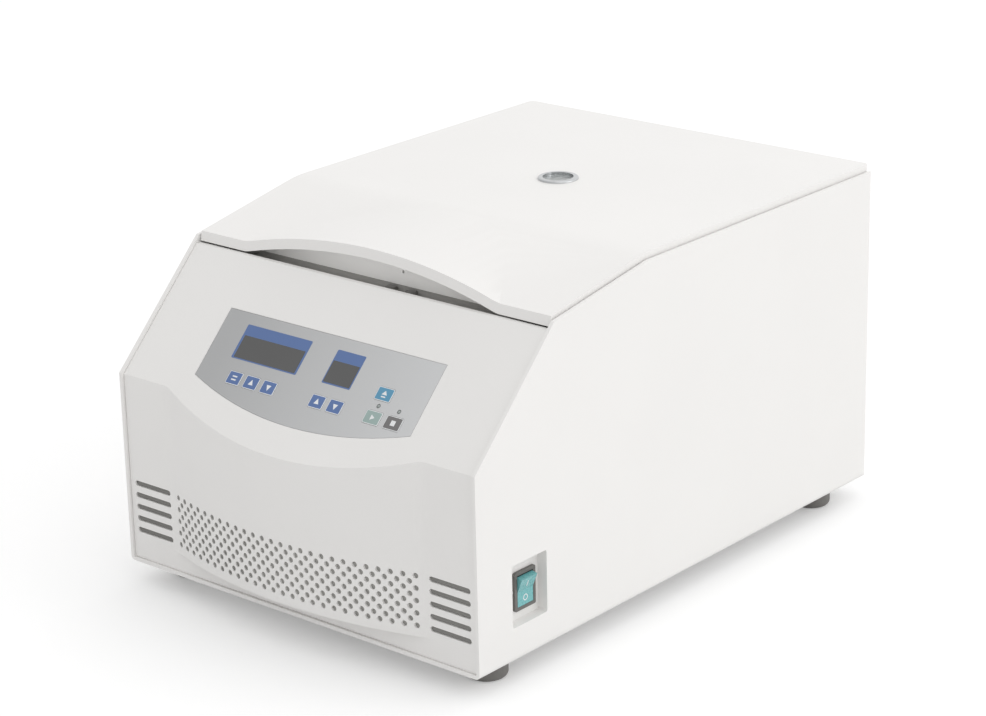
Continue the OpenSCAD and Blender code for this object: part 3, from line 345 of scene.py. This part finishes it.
NODE_FINISH = {
    "paint": ("case_shell", "top_deck", "lid_shell"),
    "panel": ("front_panel",),
    "liner": ("lid_liner",),
    "film": ("keypad",),
    "window": ("speed_window", "time_window", "display_modules"),
    "lamp": ("status_lamps",),
    "blue": ("mode_key", "speed_up_key", "speed_down_key", "time_up_key", "time_down_key"),
    "key open": ("open_key",),
    "key start": ("start_key",),
    "key stop": ("stop_key",),
    "rubber": ("rubber_feet", "motor_mounts", "bowl_boot", "bowl_gasket"),
    "dark": (
        "switch_housing", "power_inlet", "fuse_holders", "fan_frame", "fan_impeller", "rotor_nut",
        "lock_solenoid",
    ),
    "rocker": ("switch_rocker",),
    "board": ("control_board", "power_board"),
    "steel": ("bowl", "fan_guard", "rotor_yoke", "lid_hook"),
    "turned": (
        "drive_shaft", "trunnions_a", "trunnions_b", "hinge_pins", "foot_screws", "motor_screws",
        "deck_screws", "lock_bolt",
    ),
    "aluminium": ("bucket_a", "bucket_b"),
    "zinc": (
        "base_plate", "guard_ring", "motor_plate", "drive_motor", "hinge_brackets", "hinge_leaves",
        "lock_housing",
    ),
    "chrome": ("sight_ring",),
    "lens": ("sight_lens",),
}


# Mesh helpers


def finish_piece(name, bm, body, mats, place=None, sharp=35):
    """Turns a bmesh into a piece that rides on a body, with its place in its mesh.

    Edges that turn by more than sharp degrees stay hard.
    """
    if place is not None:
        bmesh.ops.transform(bm, matrix=place, verts=bm.verts)
    bmesh.ops.remove_doubles(bm, verts=bm.verts, dist=1e-7)
    bmesh.ops.recalc_face_normals(bm, faces=bm.faces)
    mesh = bpy.data.meshes.new(name)
    bm.to_mesh(mesh)
    bm.free()
    for mat in mats:
        mesh.materials.append(mat)
    piece = bpy.data.objects.new(name, mesh)
    bpy.context.scene.collection.objects.link(piece)
    mesh.polygons.foreach_set("use_smooth", [True] * len(mesh.polygons))
    mesh.set_sharp_from_angle(angle=math.radians(sharp))
    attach(piece, body)
    return piece


def rounded_plate(bm, width, height, radius, low, high):
    """A flat plate with rounded corners, centred on the origin, from low to high. Returns its top face."""
    made = bmesh.ops.create_grid(bm, x_segments=1, y_segments=1, size=0.5)
    bmesh.ops.scale(bm, vec=(width, height, 1), verts=made["verts"])
    bmesh.ops.translate(bm, vec=(0, 0, low), verts=made["verts"])
    bmesh.ops.bevel(
        bm, geom=made["verts"], offset=radius, offset_type="OFFSET", segments=4,
        profile=0.5, affect="VERTICES", material=-1,
    )
    base = [f for f in bm.faces if all(abs(v.co.z - low) < 1e-9 for v in f.verts)]
    lifted = bmesh.ops.extrude_face_region(bm, geom=[base[-1]])
    top = [g for g in lifted["geom"] if isinstance(g, bmesh.types.BMFace)]
    bmesh.ops.translate(bm, vec=(0, 0, high - low), verts=list({v for f in top for v in f.verts}))
    return top[0]


def raised(bm, faces, by):
    """Extrudes faces by a vector, and returns the vertices that moved."""
    lifted = bmesh.ops.extrude_face_region(bm, geom=faces)
    moved = [g for g in lifted["geom"] if isinstance(g, bmesh.types.BMVert)]
    bmesh.ops.translate(bm, vec=by, verts=moved)
    return moved


def ease(bm, edges, offset, segments):
    """Rounds edges by an offset, in a few segments"""
    bmesh.ops.bevel(
        bm, geom=edges, offset=offset, segments=segments, profile=0.5, affect="EDGES", material=-1
    )


def bar(bm, size, centre):
    made = bmesh.ops.create_cube(bm, size=1)
    bmesh.ops.scale(bm, vec=size, verts=made["verts"])
    bmesh.ops.translate(bm, vec=centre, verts=made["verts"])
    return made["verts"]


def face_hit(node, start, heading):
    """Where a straight line first meets a CAD node, and the way that its face looks there."""
    found, spot, normal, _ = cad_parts[node].ray_cast(Vector(start), Vector(heading))
    if not found:
        raise RuntimeError(f"nothing of {node} lies on the line from {start}")
    return spot, normal


def on_slope(x, s):
    return SLOPE @ Matrix.Translation((x, s, PANEL_FACE))


# Keypad


def printed_plate(name, finish, across, up, corner, low, high):
    """A thin rounded plate on the slope, between two places across it and two up it."""
    bm = bmesh.new()
    rounded_plate(bm, across[1] - across[0], up[1] - up[0], corner, low, high)
    place = on_slope(sum(across) / 2, sum(up) / 2)
    return finish_piece(name, bm, "cabinet", [materials[finish]], place)


def prism(bm, sides, radius, turn, centre, stretch):
    """A raised print of a few sides. Returns its faces."""
    verts = bmesh.ops.create_circle(bm, cap_ends=True, segments=sides, radius=radius)["verts"]
    turned = Matrix.Rotation(math.radians(turn), 3, "Z")
    bmesh.ops.rotate(bm, cent=(0, 0, 0), matrix=turned, verts=verts)
    bmesh.ops.scale(bm, vec=(*stretch, 1), verts=verts)
    bmesh.ops.translate(bm, vec=(*centre, SIGN_LOW), verts=verts)
    faces = list({f for v in verts for f in v.link_faces})
    top = raised(bm, faces, (0, 0, SIGN_HIGH - SIGN_LOW))
    return list({f for v in verts + top for f in v.link_faces})


def key_piece(node, x, s, width, kind, fill, settings):
    """One key: a pale rim, a coloured field and its sign, in place of the plain key."""
    bm = bmesh.new()
    field = rounded_plate(bm, width, settings.key_height, KEY_CORNER, KEY_LOW, KEY_HIGH)
    bmesh.ops.inset_region(bm, faces=[field], thickness=settings.rim, use_even_offset=True)
    bmesh.ops.translate(bm, vec=(0, 0, FIELD_LIFT), verts=list(field.verts))
    for face in bm.faces:
        face.material_index = 1
    field.material_index = 0
    for shape in SIGNS[kind]:
        for face in prism(bm, *shape):
            face.material_index = 1
    piece = finish_piece(
        node + "_cap", bm, node, [materials[fill], materials["symbol"]], on_slope(x, s)
    )
    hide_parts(node)


class CENTRIFUGE_OT_displays(bpy.types.Operator):
    """Printed frames and smoked windows of the speed and time displays"""

    bl_idname = "centrifuge.displays"
    bl_label = "Displays"

    def execute(self, context):
        for name, d in DISPLAYS.items():
            window = printed_plate(
                name + "_window", "window", d["window_across"], d["window_up"], WINDOW_CORNER,
                WINDOW_LOW, WINDOW_HIGH,
            )
            printed_plate(
                name + "_frame", "blue", d["across"], d["up"], FRAME_CORNER,
                FRAME_LOW, FRAME_HIGH,
            )
            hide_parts(name + "_window")
        return {"FINISHED"}


class CENTRIFUGE_OT_keys(bpy.types.Operator):
    """Keys with their rims and signs"""

    bl_idname = "centrifuge.keys"
    bl_label = "Keys"

    def execute(self, context):
        s = context.scene.centrifuge_keypad
        for node, (x, kind) in SMALL_KEYS.items():
            key_piece(node, x, KEY_ROW, s.key_width, kind, "blue", s)
        for node, (x, at, kind, fill, slot) in BIG_KEYS.items():
            key_piece(node, x, at, s.big_key_width, kind, fill, s)
        return {"FINISHED"}


# Small fittings


class CENTRIFUGE_OT_rocker_marks(bpy.types.Operator):
    """On and off marks of the power rocker"""

    bl_idname = "centrifuge.rocker_marks"
    bl_label = "Rocker Marks"
    print_height = 0.00012
    rocker_middle = -0.187
    ring_level, ring_radius, ring_width = 0.0617, 0.0026, 0.0007
    line_level, line_length, line_width = 0.0735, 0.0052, 0.0009

    def on_rocker(self, height):
        """Place on the face of the rocker, with X up its height and Z out of it."""
        spot, normal = face_hit("switch_rocker", (0.3, self.rocker_middle, height), (-1, 0, 0))
        upward = Vector((0, 1, 0)).cross(normal) * -1
        turn = Matrix((upward, normal.cross(upward), normal)).transposed().to_4x4()
        return Matrix.Translation(spot) @ turn

    def execute(self, context):
        bm = bmesh.new()
        ring = bmesh.ops.create_circle(bm, cap_ends=True, segments=32, radius=self.ring_radius)
        face = ring["verts"][0].link_faces[0]
        bmesh.ops.inset_region(
            bm, faces=[face], thickness=self.ring_width, use_boundary=True, use_even_offset=True
        )
        bmesh.ops.delete(bm, geom=[face], context="FACES_ONLY")
        raised(bm, list(bm.faces), (0, 0, self.print_height))
        bmesh.ops.transform(bm, matrix=self.on_rocker(self.ring_level), verts=bm.verts)
        size = (self.line_length, self.line_width, self.print_height)
        line = bar(bm, size, (0, 0, self.print_height / 2))
        bmesh.ops.transform(bm, matrix=self.on_rocker(self.line_level), verts=line)
        finish_piece("rocker_marks", bm, "rocker", [materials["symbol"]])
        return {"FINISHED"}


class CENTRIFUGE_OT_bucket_mats(bpy.types.Operator):
    """Rubber mats on the floors of the two buckets"""

    bl_idname = "centrifuge.bucket_mats"
    bl_label = "Bucket Mats"
    mat_width, mat_length, mat_corner, mat_thickness = 0.084, 0.126, 0.002, 0.0007
    floor_thickness = 0.0026

    def execute(self, context):
        for side, node, body in ((1, "bucket_a", "bucket_right"), (-1, "bucket_b", "bucket_left")):
            bm = bmesh.new()
            rounded_plate(bm, self.mat_width, self.mat_length, self.mat_corner, 0, self.mat_thickness)
            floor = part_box(node)[0][2] + self.floor_thickness
            place = Matrix.Translation((side * BUCKET_REACH, ROTOR_Y, floor))
            finish_piece(f"bucket_mat_{body}", bm, body, [materials["rubber"]], place)
        return {"FINISHED"}


class CENTRIFUGE_OT_lid_seal(bpy.types.Operator):
    """Grey rubber strip under the front wall of the lid, painted shade of the gap there, with the two
    cheeks of the lock
    """

    bl_idname = "centrifuge.lid_seal"
    bl_label = "Lid Seal"
    deck_thickness = 0.0022
    seal_length, seal_depth, seal_set_back, seal_gap = 0.330, 0.005, 0.003, 0.0004
    cheek_size = (0.008, 0.006, 0.0052)
    cheek_set_forward = 0.0035
    cheek_places = (0.014, 0.0345)

    def execute(self, context):
        deck_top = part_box("lock_housing")[1][2] + self.deck_thickness
        wall, liner_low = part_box("lid_liner")[0][1:]
        self.seal(wall, deck_top, liner_low)
        self.cheeks(wall, deck_top)
        return {"FINISHED"}

    # The strip closes the gap between the deck and the lid: painted shade of the gap.
    def seal(self, wall, deck_top, liner_low):
        bm = bmesh.new()
        size = (self.seal_length, self.seal_depth, liner_low - deck_top - self.seal_gap)
        bar(bm, size, (0, wall + self.seal_set_back, (deck_top + liner_low) / 2))
        long_edges = [e for e in bm.edges if abs(e.verts[0].co.x - e.verts[1].co.x) > self.seal_length / 2]
        ease(bm, long_edges, 0.0012, 3)
        finish_piece("lid_seal", bm, "cabinet", [materials["seal"]])

    def cheeks(self, wall, deck_top):
        bm = bmesh.new()
        for x in self.cheek_places:
            bar(bm, self.cheek_size, (x, wall - self.cheek_set_forward, deck_top + self.cheek_size[2] / 2))
        ease(bm, list(bm.edges), 0.0007, 2)
        finish_piece("lock_cheeks", bm, "cabinet", [materials["rubber"]])


class CENTRIFUGE_OT_air_filters(bpy.types.Operator):
    """Dark foam that fills the slots and the grille from behind: painted shade of the openings"""

    bl_idname = "centrifuge.air_filters"
    bl_label = "Air Filters"
    panel_depth = 0.0036
    sheet_thickness = 0.003
    backing_width, backing_height, backing_depth = 0.046, 0.058, 0.0047
    rib_size, rib_depth, rib_corner = (0.0387, 0.0022, 0.0037), 0.0022, 0.0018
    stud_radius, stud_depth, stud_overlap = 0.0021, 0.0011, 0.0002

    def execute(self, context):
        self.slots()
        self.grille()
        return {"FINISHED"}

    def slots(self):
        """A sheet of dark foam behind each set of slots, with a rib in each slot: painted shade of the
        slots.
        """
        bm = bmesh.new()
        probe = (SLOT_MIDDLE, PANEL_PROBE, GRILLE_LOW + GRILLE_PITCH / 2)
        face = face_hit("front_panel", probe, (0, 1, 0))[0].y
        for x in (-SLOT_MIDDLE, SLOT_MIDDLE):
            backing = (self.backing_width, self.sheet_thickness, self.backing_height)
            bar(bm, backing, (x, face + self.backing_depth, GRILLE_LOW + 2 * GRILLE_PITCH))
            for row in range(GRILLE_ROWS):
                middle = (x, face + self.rib_depth, GRILLE_LOW + row * GRILLE_PITCH)
                rib = bar(bm, self.rib_size, middle)
                ends = [e for e in bm.edges if e.verts[0] in rib and e.verts[1] in rib
                        and abs(e.verts[0].co.y - e.verts[1].co.y) > self.rib_size[1] / 2]
                ease(bm, ends, self.rib_corner, 5)
        finish_piece("slot_filters", bm, "cabinet", [materials["slot foam"]])

    def surface(self, x, height):
        """Y of the grille's outer face, in the solid strip just above a row of holes."""
        return face_hit("front_panel", (x, PANEL_PROBE, height + GRILLE_PITCH / 4), (0, 1, 0))[0].y

    def grille(self):
        """A curved sheet of dark foam behind the grille, with a stud in each hole: painted shade of the
        holes.
        """
        bm = bmesh.new()
        level = GRILLE_LOW + (GRILLE_ROWS - 1) / 2 * GRILLE_PITCH
        sheet = bmesh.ops.create_grid(bm, x_segments=2 * GRILLE_COLUMNS, y_segments=1, size=0.5)["verts"]
        size = (GRILLE_COLUMNS * GRILLE_PITCH, GRILLE_ROWS * GRILLE_PITCH, 1)
        bmesh.ops.scale(bm, vec=size, verts=sheet)
        bmesh.ops.rotate(bm, cent=(0, 0, 0), matrix=Matrix.Rotation(math.radians(90), 3, "X"), verts=sheet)
        for vert in sheet:
            vert.co.y = self.surface(vert.co.x, level) + self.panel_depth
            vert.co.z += level
        raised(bm, list(bm.faces), (0, self.sheet_thickness, 0))
        for half in (0, 1):
            for row in range(GRILLE_ROWS - half):
                for column in range(GRILLE_COLUMNS - half):
                    x = (column - (GRILLE_COLUMNS - 1 - half) / 2) * GRILLE_PITCH
                    height = GRILLE_LOW + (row + half / 2) * GRILLE_PITCH
                    self.stud(bm, x, height)
        finish_piece("grille_filter", bm, "cabinet", [materials["foam"]])

    def stud(self, bm, x, height):
        """Dark foam in one hole of the grille, painted shade of the hole"""
        depth = self.panel_depth - self.stud_depth
        made = bmesh.ops.create_cone(
            bm, cap_ends=True, segments=12, radius1=self.stud_radius, radius2=self.stud_radius, depth=depth
        )["verts"]
        bmesh.ops.rotate(bm, cent=(0, 0, 0), matrix=Matrix.Rotation(math.radians(90), 3, "X"), verts=made)
        middle = self.surface(x, height) + self.stud_depth + depth / 2 + self.stud_overlap
        bmesh.ops.translate(bm, vec=(x, middle, height), verts=made)


class CENTRIFUGE_OT_lid_skin(bpy.types.Operator):
    """Painted skin of the lid, whose arched hood fades into the top"""

    bl_idname = "centrifuge.lid_skin"
    bl_label = "Lid Skin"
    hard_above = 22

    def execute(self, context):
        bm = bmesh.new()
        bm.from_mesh(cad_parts["lid_shell"].data)
        piece = finish_piece(
            "lid_skin", bm, "lid", [materials["paint"]], sharp=self.hard_above
        )
        even = piece.modifiers.new("even shading", "WEIGHTED_NORMAL")
        even.keep_sharp = True
        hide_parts("lid_shell")
        return {"FINISHED"}


class CENTRIFUGE_OT_rear_screws(bpy.types.Operator):
    """Pan head screws of the fan guard"""

    bl_idname = "centrifuge.rear_screws"
    bl_label = "Rear Screws"
    spacing = 0.0715
    head_radius, head_height, head_taper = 0.0031, 0.0018, 0.72
    # The cross is a thin black bar set into the head's top, painted shade of a cross recess.
    recess_length, recess_width, recess_depth = 0.003255, 0.000744, 0.0004
    recess_level = 0.0017

    def execute(self, context):
        bm = bmesh.new()
        low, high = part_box("fan_guard")
        middle_x, middle_z = (low[0] + high[0]) / 2, (low[2] + high[2]) / 2
        for x in (-self.spacing / 2, self.spacing / 2):
            for z in (-self.spacing / 2, self.spacing / 2):
                self.screw(bm, (middle_x + x, high[1], middle_z + z))
        finish_piece("fan_screws", bm, "cabinet", [materials["screw"], materials["black"]])
        return {"FINISHED"}

    def screw(self, bm, place):
        """A round head with a black cross set into its top, painted shade of its cross recess, looking to
        the rear.
        """
        verts = list(bmesh.ops.create_cone(
            bm, cap_ends=True, segments=24, radius1=self.head_radius,
            radius2=self.head_radius * self.head_taper, depth=self.head_height,
        )["verts"])
        bmesh.ops.translate(bm, vec=(0, 0, self.head_height / 2), verts=verts)
        size = (self.recess_length, self.recess_width, self.recess_depth)
        for turn in (0, 90):
            arm = bar(bm, size, (0, 0, self.recess_level))
            turned = Matrix.Rotation(math.radians(turn), 3, "Z")
            bmesh.ops.rotate(bm, cent=(0, 0, 0), matrix=turned, verts=arm)
            for face in {f for v in arm for f in v.link_faces}:
                face.material_index = 1
            verts += arm
        to_rear = Matrix.Translation(place) @ Matrix.Rotation(math.radians(-90), 4, "X")
        bmesh.ops.transform(bm, matrix=to_rear, verts=verts)


class CENTRIFUGE_OT_finishes(bpy.types.Operator):
    """Finishes of every part of the frame"""

    bl_idname = "centrifuge.finishes"
    bl_label = "Finishes"

    def execute(self, context):
        make_materials(context.scene.centrifuge_finish)
        for finish, nodes in NODE_FINISH.items():
            for node in nodes:
                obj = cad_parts[node]
                if not obj.material_slots:
                    obj.data.materials.append(None)
                for held in obj.material_slots:
                    held.material = materials[finish]
        return {"FINISHED"}


# Stage


def area_lamp(name, power, size, place, aim):
    data = bpy.data.lights.new(name, "AREA")
    data.energy = power
    data.shape = "RECTANGLE"
    data.size, data.size_y = size
    lamp = bpy.data.objects.new(name, data)
    bpy.context.scene.collection.objects.link(lamp)
    lamp.location = place
    lamp.rotation_euler = (Vector(aim) - Vector(place)).to_track_quat("-Z", "Y").to_euler()


def white_to_camera(tree, surface, level):
    """Adds an even glow that only the camera and mirrors see, so the ground reads as white paper."""
    rays = tree.nodes.new("ShaderNodeLightPath")
    seen = tree.nodes.new("ShaderNodeMath")
    seen.operation = "MAXIMUM"
    tree.links.new(rays.outputs["Is Camera Ray"], seen.inputs[0])
    tree.links.new(rays.outputs["Is Glossy Ray"], seen.inputs[1])
    glow = tree.nodes.new("ShaderNodeEmission")
    scale = tree.nodes.new("ShaderNodeMath")
    scale.operation = "MULTIPLY"
    scale.inputs[1].default_value = level
    tree.links.new(seen.outputs[0], scale.inputs[0])
    tree.links.new(scale.outputs[0], glow.inputs["Strength"])
    both = tree.nodes.new("ShaderNodeAddShader")
    tree.links.new(surface, both.inputs[0])
    tree.links.new(glow.outputs["Emission"], both.inputs[1])
    return both.outputs["Shader"]


class CENTRIFUGE_OT_stage(bpy.types.Operator):
    """Camera, lamps, white surroundings and the floor"""

    bl_idname = "centrifuge.stage"
    bl_label = "Stage"
    lamp_aim = (0, 0, 0.15)
    key_size, key_place = (1.6, 1.6), (2.1, 0.8, 1.5)
    overhead_size, overhead_place = (1.4, 1.4), (0.5, 0.2, 2.6)
    sky_leans_to = (0.62, 0.71, 0.33)
    sky_darkest, sky_brightest = 0.68, 1.28
    floor_reach = 6
    floor_glow = 0.22

    def execute(self, context):
        scene = context.scene
        s = scene.centrifuge_stage
        scene.view_settings.view_transform = "Standard"
        self.camera(scene)
        self.world(scene, s.sky)
        self.floor(scene)
        area_lamp("key lamp", s.key_power, self.key_size, self.key_place, self.lamp_aim)
        area_lamp("overhead lamp", s.fill_power, self.overhead_size, self.overhead_place, self.lamp_aim)
        return {"FINISHED"}

    def camera(self, scene):
        back = Vector((
            math.sin(AZIMUTH) * math.cos(ELEVATION),
            -math.cos(AZIMUTH) * math.cos(ELEVATION),
            math.sin(ELEVATION),
        ))
        level = Vector((math.cos(AZIMUTH), math.sin(AZIMUTH), 0))
        upright = back.cross(level)
        right = math.cos(ROLL) * level + math.sin(ROLL) * upright
        up = math.cos(ROLL) * upright - math.sin(ROLL) * level
        data = bpy.data.cameras.new("camera")
        data.sensor_width = SENSOR_WIDTH
        data.lens = SENSOR_WIDTH * FOCAL_PIXELS / PHOTO_WIDTH
        data.clip_end = 50
        camera = bpy.data.objects.new("camera", data)
        scene.collection.objects.link(camera)
        spot = back * DISTANCE + right * SHIFT_RIGHT + up * SHIFT_UP + AIM
        turn = Matrix((right, up, back)).transposed().to_4x4()
        camera.matrix_world = Matrix.Translation(spot) @ turn
        scene.camera = camera

    def world(self, scene, sky):
        world = bpy.data.worlds.new("pale studio")
        scene.world = world
        world.use_nodes = True
        tree = world.node_tree
        backdrop = tree.nodes["Background"]
        backdrop.inputs["Color"].default_value = (1, 1, 1, 1)
        rays = tree.nodes.new("ShaderNodeLightPath")
        seen = tree.nodes.new("ShaderNodeMath")
        seen.operation = "MAXIMUM"
        tree.links.new(rays.outputs["Is Camera Ray"], seen.inputs[0])
        tree.links.new(rays.outputs["Is Transmission Ray"], seen.inputs[1])
        coords = tree.nodes.new("ShaderNodeTexCoord")
        lean = tree.nodes.new("ShaderNodeVectorMath")
        lean.operation = "DOT_PRODUCT"
        lean.inputs[1].default_value = self.sky_leans_to
        tree.links.new(coords.outputs["Generated"], lean.inputs[0])
        soft = tree.nodes.new("ShaderNodeMapRange")
        soft.inputs["From Min"].default_value = -1.0
        soft.inputs["To Min"].default_value = sky * self.sky_darkest
        soft.inputs["To Max"].default_value = sky * self.sky_brightest
        tree.links.new(lean.outputs["Value"], soft.inputs["Value"])
        level = tree.nodes.new("ShaderNodeMapRange")
        level.inputs["To Max"].default_value = 1.0
        tree.links.new(soft.outputs["Result"], level.inputs["To Min"])
        tree.links.new(seen.outputs[0], level.inputs["Value"])
        tree.links.new(level.outputs["Result"], backdrop.inputs["Strength"])

    def floor(self, scene):
        bm = bmesh.new()
        bmesh.ops.create_grid(bm, x_segments=8, y_segments=8, size=self.floor_reach)
        mesh = bpy.data.meshes.new("floor")
        bm.to_mesh(mesh)
        bm.free()
        mat, tree, shader = new_material("pale floor")
        vector = object_coordinates(tree)
        tree.links.new(
            colour_between(tree, noise(tree, vector, 0.6), (0.80, 0.80, 0.80), (0.82, 0.82, 0.82)),
            shader.inputs["Base Color"],
        )
        shader.inputs["Roughness"].default_value = 0.9
        shader.inputs["Specular IOR Level"].default_value = 0.1
        out = tree.nodes["Material Output"]
        lit = white_to_camera(tree, shader.outputs["BSDF"], self.floor_glow)
        tree.links.new(lit, out.inputs["Surface"])
        mesh.materials.append(mat)
        floor = bpy.data.objects.new("floor", mesh)
        scene.collection.objects.link(floor)


class CENTRIFUGE_PT_looks(bpy.types.Panel):
    """Sizes, colours and pieces of the centrifuge"""

    bl_idname = "CENTRIFUGE_PT_looks"
    bl_label = "Centrifuge"
    bl_space_type = "VIEW_3D"
    bl_region_type = "UI"
    bl_category = "Centrifuge"

    def draw(self, context):
        layout = self.layout
        for group in ("centrifuge_finish", "centrifuge_keypad", "centrifuge_stage"):
            settings = getattr(context.scene, group)
            box = layout.box()
            for name in settings.__annotations__:
                box.prop(settings, name)
        for operator in OPERATORS:
            layout.operator(operator.bl_idname)


SETTINGS = {
    "centrifuge_finish": FinishSettings,
    "centrifuge_keypad": KeypadSettings,
    "centrifuge_stage": StageSettings,
}
OPERATORS = (
    CENTRIFUGE_OT_finishes,
    CENTRIFUGE_OT_displays,
    CENTRIFUGE_OT_keys,
    CENTRIFUGE_OT_rocker_marks,
    CENTRIFUGE_OT_bucket_mats,
    CENTRIFUGE_OT_lid_seal,
    CENTRIFUGE_OT_air_filters,
    CENTRIFUGE_OT_lid_skin,
    CENTRIFUGE_OT_rear_screws,
    CENTRIFUGE_OT_stage,
)


def register():
    for cls in (*SETTINGS.values(), *OPERATORS, CENTRIFUGE_PT_looks):
        bpy.utils.register_class(cls)
    for name, cls in SETTINGS.items():
        setattr(bpy.types.Scene, name, PointerProperty(type=cls))


def unregister():
    for name in SETTINGS:
        delattr(bpy.types.Scene, name)
    for cls in reversed((*SETTINGS.values(), *OPERATORS, CENTRIFUGE_PT_looks)):
        bpy.utils.unregister_class(cls)


def main():
    register()
    for operator in OPERATORS:
        group, name = operator.bl_idname.split(".")
        getattr(getattr(bpy.ops, group), name)()


if __name__ == "__main__":
    main()
